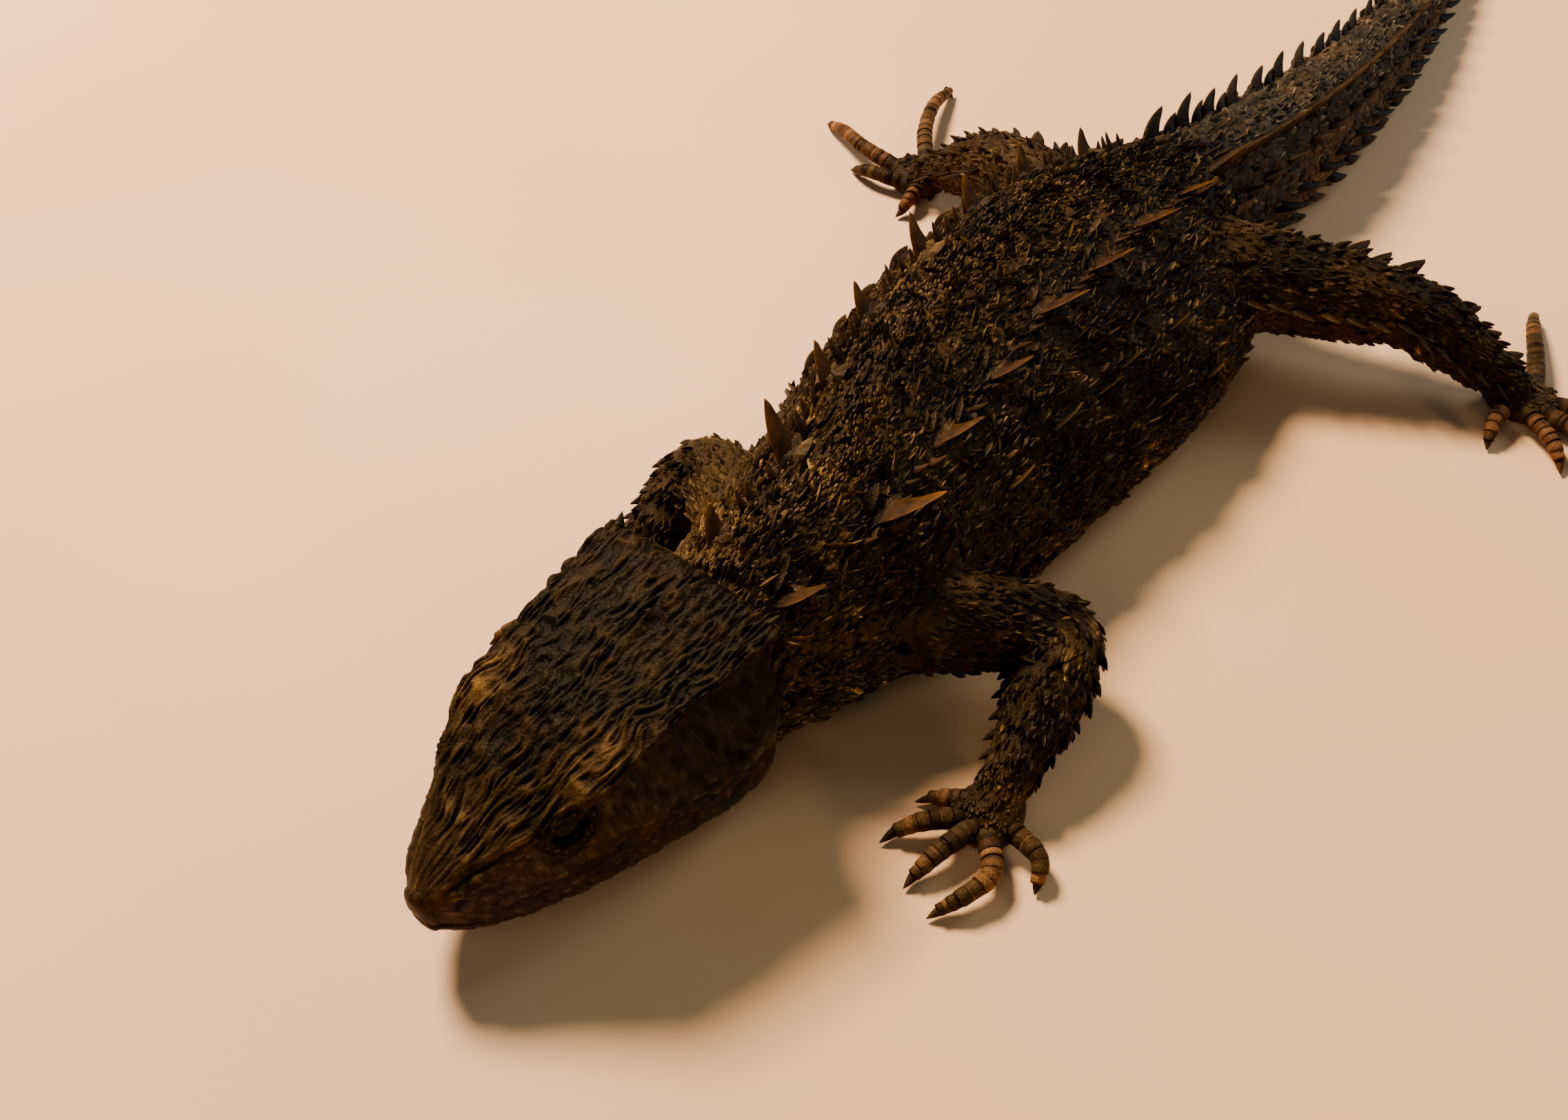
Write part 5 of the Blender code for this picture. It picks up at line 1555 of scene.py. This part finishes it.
def tail_spots():
    """Rows of triangular spines and keeled plates down the tail."""
    spots = []
    for row, (turn, tall, wide) in enumerate(TAIL_ROWS):
        for front, rear, count in TAIL_COUNTS:
            for k in range(count):
                for side in (1, -1):
                    shift = 0.25 if row % 2 else 0.5
                    x = front + (rear - front) * (k + shift) / count + rng.uniform(-0.3, 0.3)
                    half = float(curve(TRUNK, 3, x))
                    root, out, back = back_frame(x, side * turn)
                    height = max(0.45, half * 0.42) * tall * rng.uniform(0.9, 1.15) + 0.25
                    length = min((front - rear) / count * 0.62, half * 0.66)
                    up = unit(out + back * 0.45)
                    spots.append((root, back, up, (length, half * 0.26 * wide, height),
                                  trunk_chart(x, side * turn)))
                    if row == 0 and rng.random() < 0.55:
                        x -= length * 0.85
                        root, out, back = back_frame(x, side * turn)
                        up = unit(out + back * 0.45)
                        spots.append((root, back, up,
                                      (length * 0.7, half * 0.22, height * 0.62),
                                      trunk_chart(x, side * turn)))
    return spots


def limb_thorns(snap, limb):
    """Pointed scales along the edges of a limb that lean to its end."""
    hind = limb.startswith("leg")
    path, widths, length = limb_path(limb, 160)
    way, _, _ = path_frames(path)
    total = length[-1]
    spots = []
    for turn, tall in THORN_ROWS:
        strong = 1.5 if hind else 0.7
        tallest = hind and abs(turn) == 0.22 and (turn < 0) == (limb == "leg_l")
        if tallest:
            strong = 2.5
        gap = 2.5 if tallest else 2.0 if hind else 1.5
        at = total * 0.24 + rng.uniform(0, gap * 0.5)
        while at < total * (0.93 if hind else 0.9):
            i = int(np.searchsorted(length, at))
            along = way[i]
            top = unit(UP - along * along[2])
            side = np.cross(along, top)
            angle = 2 * math.pi * (turn + rng.uniform(-0.012, 0.012))
            out = top * math.cos(angle) + side * math.sin(angle)
            fade = 0.55 + 0.45 * min(1.0, widths[i] / 2.6)
            height = strong * tall * fade * rng.uniform(0.8, 1.15)
            foot = height * 0.95 + 0.45
            root = path[i] + out * widths[i]
            found = snap.near(root, 1.0)
            if found is not None and np.dot(found[1], out) > 0.3:
                up = unit(out + found[1] * 0.4 + along * (0.05 if tallest else 0.4))
                spots.append((found[0], along, up, (foot, foot * 0.42, height + 0.15),
                              chart_place(limb, at / total, turn)))
            at += gap * rng.uniform(0.85, 1.15)
    return spots


def corner_spots():
    """Small points along the rear edge of the casque."""
    spots = []
    for side in (1, -1):
        for out, grow in CASQUE_POINTS:
            place = head_place(24.5, side * out, 14.55)
            up = head_way(-1.0, side * out * 0.07, 0.1)
            spots.append((place, UP, up, (1.3 * grow, 1.7 * grow, 1.6 * grow),
                          chart_place("head", 0.85, 0.5 + side * 0.15)))
    return spots


def claw_spots(lines):
    """A curved claw at the end of each digit."""
    spots = []
    for limb, path, _, tip in lines:
        end = path[-1]
        target = np.array((tip[0], tip[1], 0.22))
        way = target - end + (0, 0, 0.55)
        length = np.linalg.norm(way)
        up = way / length
        down = unit(np.array((0, 0, -1.0)) + up * up[2])
        size = (0.80, 0.72, min(1.9, max(0.9, length * 0.72)))
        start = end - down * 0.40 - up * 0.20
        spots.append((start, down, up, size, chart_place(limb, 0.99, 0.5)))
    return spots


def digit_spots(lines):
    """Bands of scutes over the top and down the sides of each digit."""
    spots = []
    for limb, path, radii, _ in lines:
        way, _, _ = path_frames(path)
        length = lengths(path)
        at = length[-1] * 0.20
        while at < length[-1] - 0.15:
            i = int(np.searchsorted(length, at))
            top = unit(UP - way[i] * way[i][2] + rng.normal(0, 0.08, 3))
            dims = (0.86 * rng.uniform(0.8, 1.2), 1.99 * radii[i], 1.99 * radii[i])
            spots.append((path[i], way[i], top, dims,
                          chart_place(limb, 0.9 + 0.1 * at / length[-1], 0.5)))
            at += 0.74 * rng.uniform(0.85, 1.15)
    return spots


def palm_spots(snap):
    """Rough grains over the backs of the hands and feet."""
    spots = []
    for limb, spec in FEET.items():
        (px, py), length, width, turn = spec["palm"]
        c, s = math.cos(math.radians(turn)), math.sin(math.radians(turn))
        for _ in range(300):
            u, v = rng.uniform(-1, 1, 2)
            if u * u + v * v > 1.0:
                continue
            point = (px + u * length * c - v * width * s, py + u * length * s + v * width * c, 4.5)
            hit = snap.tree.ray_cast(Vector(point), Vector((0, 0, -1)), 4.3)
            if hit[0] is None or hit[1].z < 0.25:
                continue
            normal = np.array(hit[1])
            way = np.array((c, s, 0.0)) + rng.normal(0, 0.4, 3)
            dims = np.array((0.55, 0.40, 0.26)) * rng.uniform(0.6, 1.3)
            spots.append((np.array(hit[0]) - normal * 0.05, way + normal * 0.2, normal, dims,
                          chart_place(limb, 0.85 + 0.05 * u, 0.5 + 0.2 * v)))
    return spots


def outside_head(point):
    """Whether a spot lies clear of the head, under the casque's rear edge."""
    behind, _, _ = head_terms(point)
    return behind > 22.0


# Coats of the trunk and tail: piece, shape, stretch along x, pitch along and around, turns round
# from the ridge, size, lift of the tips, sink of the roots, share kept, stray of the ways, share of
# ochre flecks that are partly the skin's own colour and partly painted glints
TRUNK_COATS = (
    ("grains_back", GRAIN, (33.0, -31.0), (0.46, 0.44), (0.0, 0.13),
     (0.50, 0.32, 0.34), 0.3, 0.08, 1.0, 0.26, 0.07),
    ("slivers_back", SLIVER, (33.0, -31.0), (0.52, 0.46), (0.0, 0.14),
     (1.35, 0.24, 0.34), 0.25, 0.08, 0.85, 0.40, 0.10),
    ("grains_flank", GRAIN, (36.0, -31.0), (0.52, 0.46), (0.12, 0.38),
     (0.50, 0.32, 0.32), 0.25, 0.08, 1.0, 0.26, 0.04),
    ("slivers_flank", SLIVER, (36.0, -31.0), (0.58, 0.52), (0.12, 0.38),
     (1.15, 0.26, 0.32), 0.22, 0.08, 0.85, 0.40, 0.04),
    ("scales_flank", KEELED, (36.0, -31.0), (1.1, 1.0), (0.12, 0.38),
     (1.0, 0.48, 0.34), 0.2, 0.08, 0.7, 0.26, 0.04),
    ("scales_belly", KEELED, (36.0, -31.0), (1.3, 1.2), (0.38, 0.5),
     (1.5, 1.25, 0.16), 0.0, 0.06, 1.0, 0.26, 0.04),
    ("scales_tail", KEELED, (-28.0, -66.0), (0.80, 0.62), (0.0, 0.5),
     (1.15, 0.54, 0.32), 0.2, 0.08, 1.0, 0.26, 0.04),
    ("scales_tail_end", KEELED, (-65.5, -122.5), (0.95, 0.75), (0.0, 0.5),
     (1.35, 0.64, 0.38), 0.2, 0.08, 1.0, 0.26, 0.04),
)


def make_coats(snap, lines, materials):
    """Scales over the trunk, tail and limbs, with the spines, fins and claws."""
    body = materials["body"]

    def scales(name, spots, shape, fleck_and_glint, spread=0.60):
        """A coat of the body's own skin, spread in tint and flecked with ochre that is partly its own
        colour and partly painted warm glints.
        """
        coat_piece(name, shape, spots, body, spread=spread, fleck_and_glint=fleck_and_glint)

    for name, shape, span, pitch, turns, size, lie, sink, share, stray, fleck_and_glint in TRUNK_COATS:
        scales(name, trunk_spots(snap, span, pitch, turns, size, lie, sink, share, stray), shape, fleck_and_glint)

    def each_limb(spots, *values):
        """The spots of all four limbs."""
        return [spot for limb in LIMBS for spot in spots(snap, limb, *values)]

    small = each_limb(limb_spots, (0.12, 0.99), (0.48, 0.50), (0.80, 0.48, 0.22), 0.08)
    scales("scales_limbs", small, KEELED, 0.01, 0.3)
    scales("grains_palms", palm_spots(snap), GRAIN, 0.02, 0.3)
    slivers = each_limb(limb_spots, (0.12, 0.97), (1.1, 0.95), (0.9, 0.26, 0.28), 0.04)
    scales("slivers_limbs", slivers, SLIVER, 0.08)
    coat_piece("digit_scales", BAND, digit_spots(lines), body, True, spread=0.36)
    horn = materials["horn"]
    coat_piece("fins", TALL_FIN, fin_spots(), horn, True, AMBER * 0.62, 0.1)
    scales("fin_mounds", mound_spots(), KEELED, 0.0)
    coat_piece("flank_blades", FIN, blade_spots(), body, True, OCHRE * 0.7)
    coat_piece("ridge_teeth", FIN, ridge_spots(), horn, True, AMBER * 0.25)
    coat_piece("tail_spines", FIN, tail_spots(), body, True, OCHRE * 0.3)
    coat_piece("limb_spines", FIN, each_limb(limb_thorns), body, True, OCHRE * 0.25)
    coat_piece("casque_corners", THORN, corner_spots(), body, True)
    coat_piece("claws", CLAW, claw_spots(lines), horn, True, UMBER * 1.2, 0.1)


# Stage
def make_stage():
    """Floor, camera and soft studio light."""
    corners = [(x * FLOOR_REACH, y * FLOOR_REACH, 0) for x, y in ((-1, -1), (1, -1), (1, 1), (-1, 1))]
    floor = new_mesh("floor", corners, np.array([(0, 1, 2, 3)]), False)
    material = bpy.data.materials.new("floor_paper")
    material.use_nodes = True
    tree = material.node_tree
    shader = tree.nodes["Principled BSDF"]
    place = tree.nodes.new("ShaderNodeTexCoord").outputs["Object"]
    cloud = texture(tree, "ShaderNodeTexNoise", place, Scale=14.0, Detail=2.0)
    colour = ramp(tree, cloud.outputs["Fac"], ((0.3, FLOOR_WARM), (0.7, FLOOR_PALE)))
    tree.links.new(colour, shader.inputs["Base Color"])
    shader.inputs["Roughness"].default_value = 0.75
    floor.data.materials.append(material)

    lens = bpy.data.cameras.new("camera")
    lens.sensor_fit = "HORIZONTAL"
    lens.angle = CAMERA_ANGLE
    lens.clip_start = 0.005
    lens.clip_end = 10.0
    camera = bpy.data.objects.new("camera", lens)
    camera.location = Vector(CAMERA_PLACE) * MM
    aim = Vector(CAMERA_AIM) - Vector(CAMERA_PLACE)
    camera.rotation_euler = aim.to_track_quat("-Z", "Y").to_euler()
    bpy.context.scene.collection.objects.link(camera)
    bpy.context.scene.camera = camera

    for name, place, size, power, colour in LAMPS:
        lamp = bpy.data.lights.new(name, "AREA")
        lamp.shape = "DISK"
        lamp.size = size * MM
        lamp.energy = power
        lamp.color = colour
        holder = bpy.data.objects.new(name, lamp)
        holder.location = Vector(place) * MM
        holder.rotation_euler = (Vector(LAMP_AIM) - Vector(place)).to_track_quat("-Z", "Y").to_euler()
        bpy.context.scene.collection.objects.link(holder)

    world = bpy.data.worlds.new("studio")
    world.use_nodes = True
    sky = world.node_tree.nodes["Background"]
    sky.inputs[0].default_value = SKY
    sky.inputs[1].default_value = SKY_POWER
    bpy.context.scene.world = world


def main():
    """Stage, skin, coats, eyes and lids."""
    make_stage()
    materials = {
        "body": skin_material("body_scales", *SCALE_LOOK),
        "skin": skin_material("skin_wet", *SKIN_LOOK),
        "horn": horn_material("horn"),
        "eye": eye_material(),
    }
    skin, verts, faces, lines = make_skin()
    finish_piece(skin, materials["skin"])
    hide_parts(*NODES)
    snap = Snap(verts, faces)
    make_coats(snap, lines, materials)
    for side in (1, -1):
        make_eye(side, materials["eye"])
        make_lids(side, snap, materials["skin"])


main()
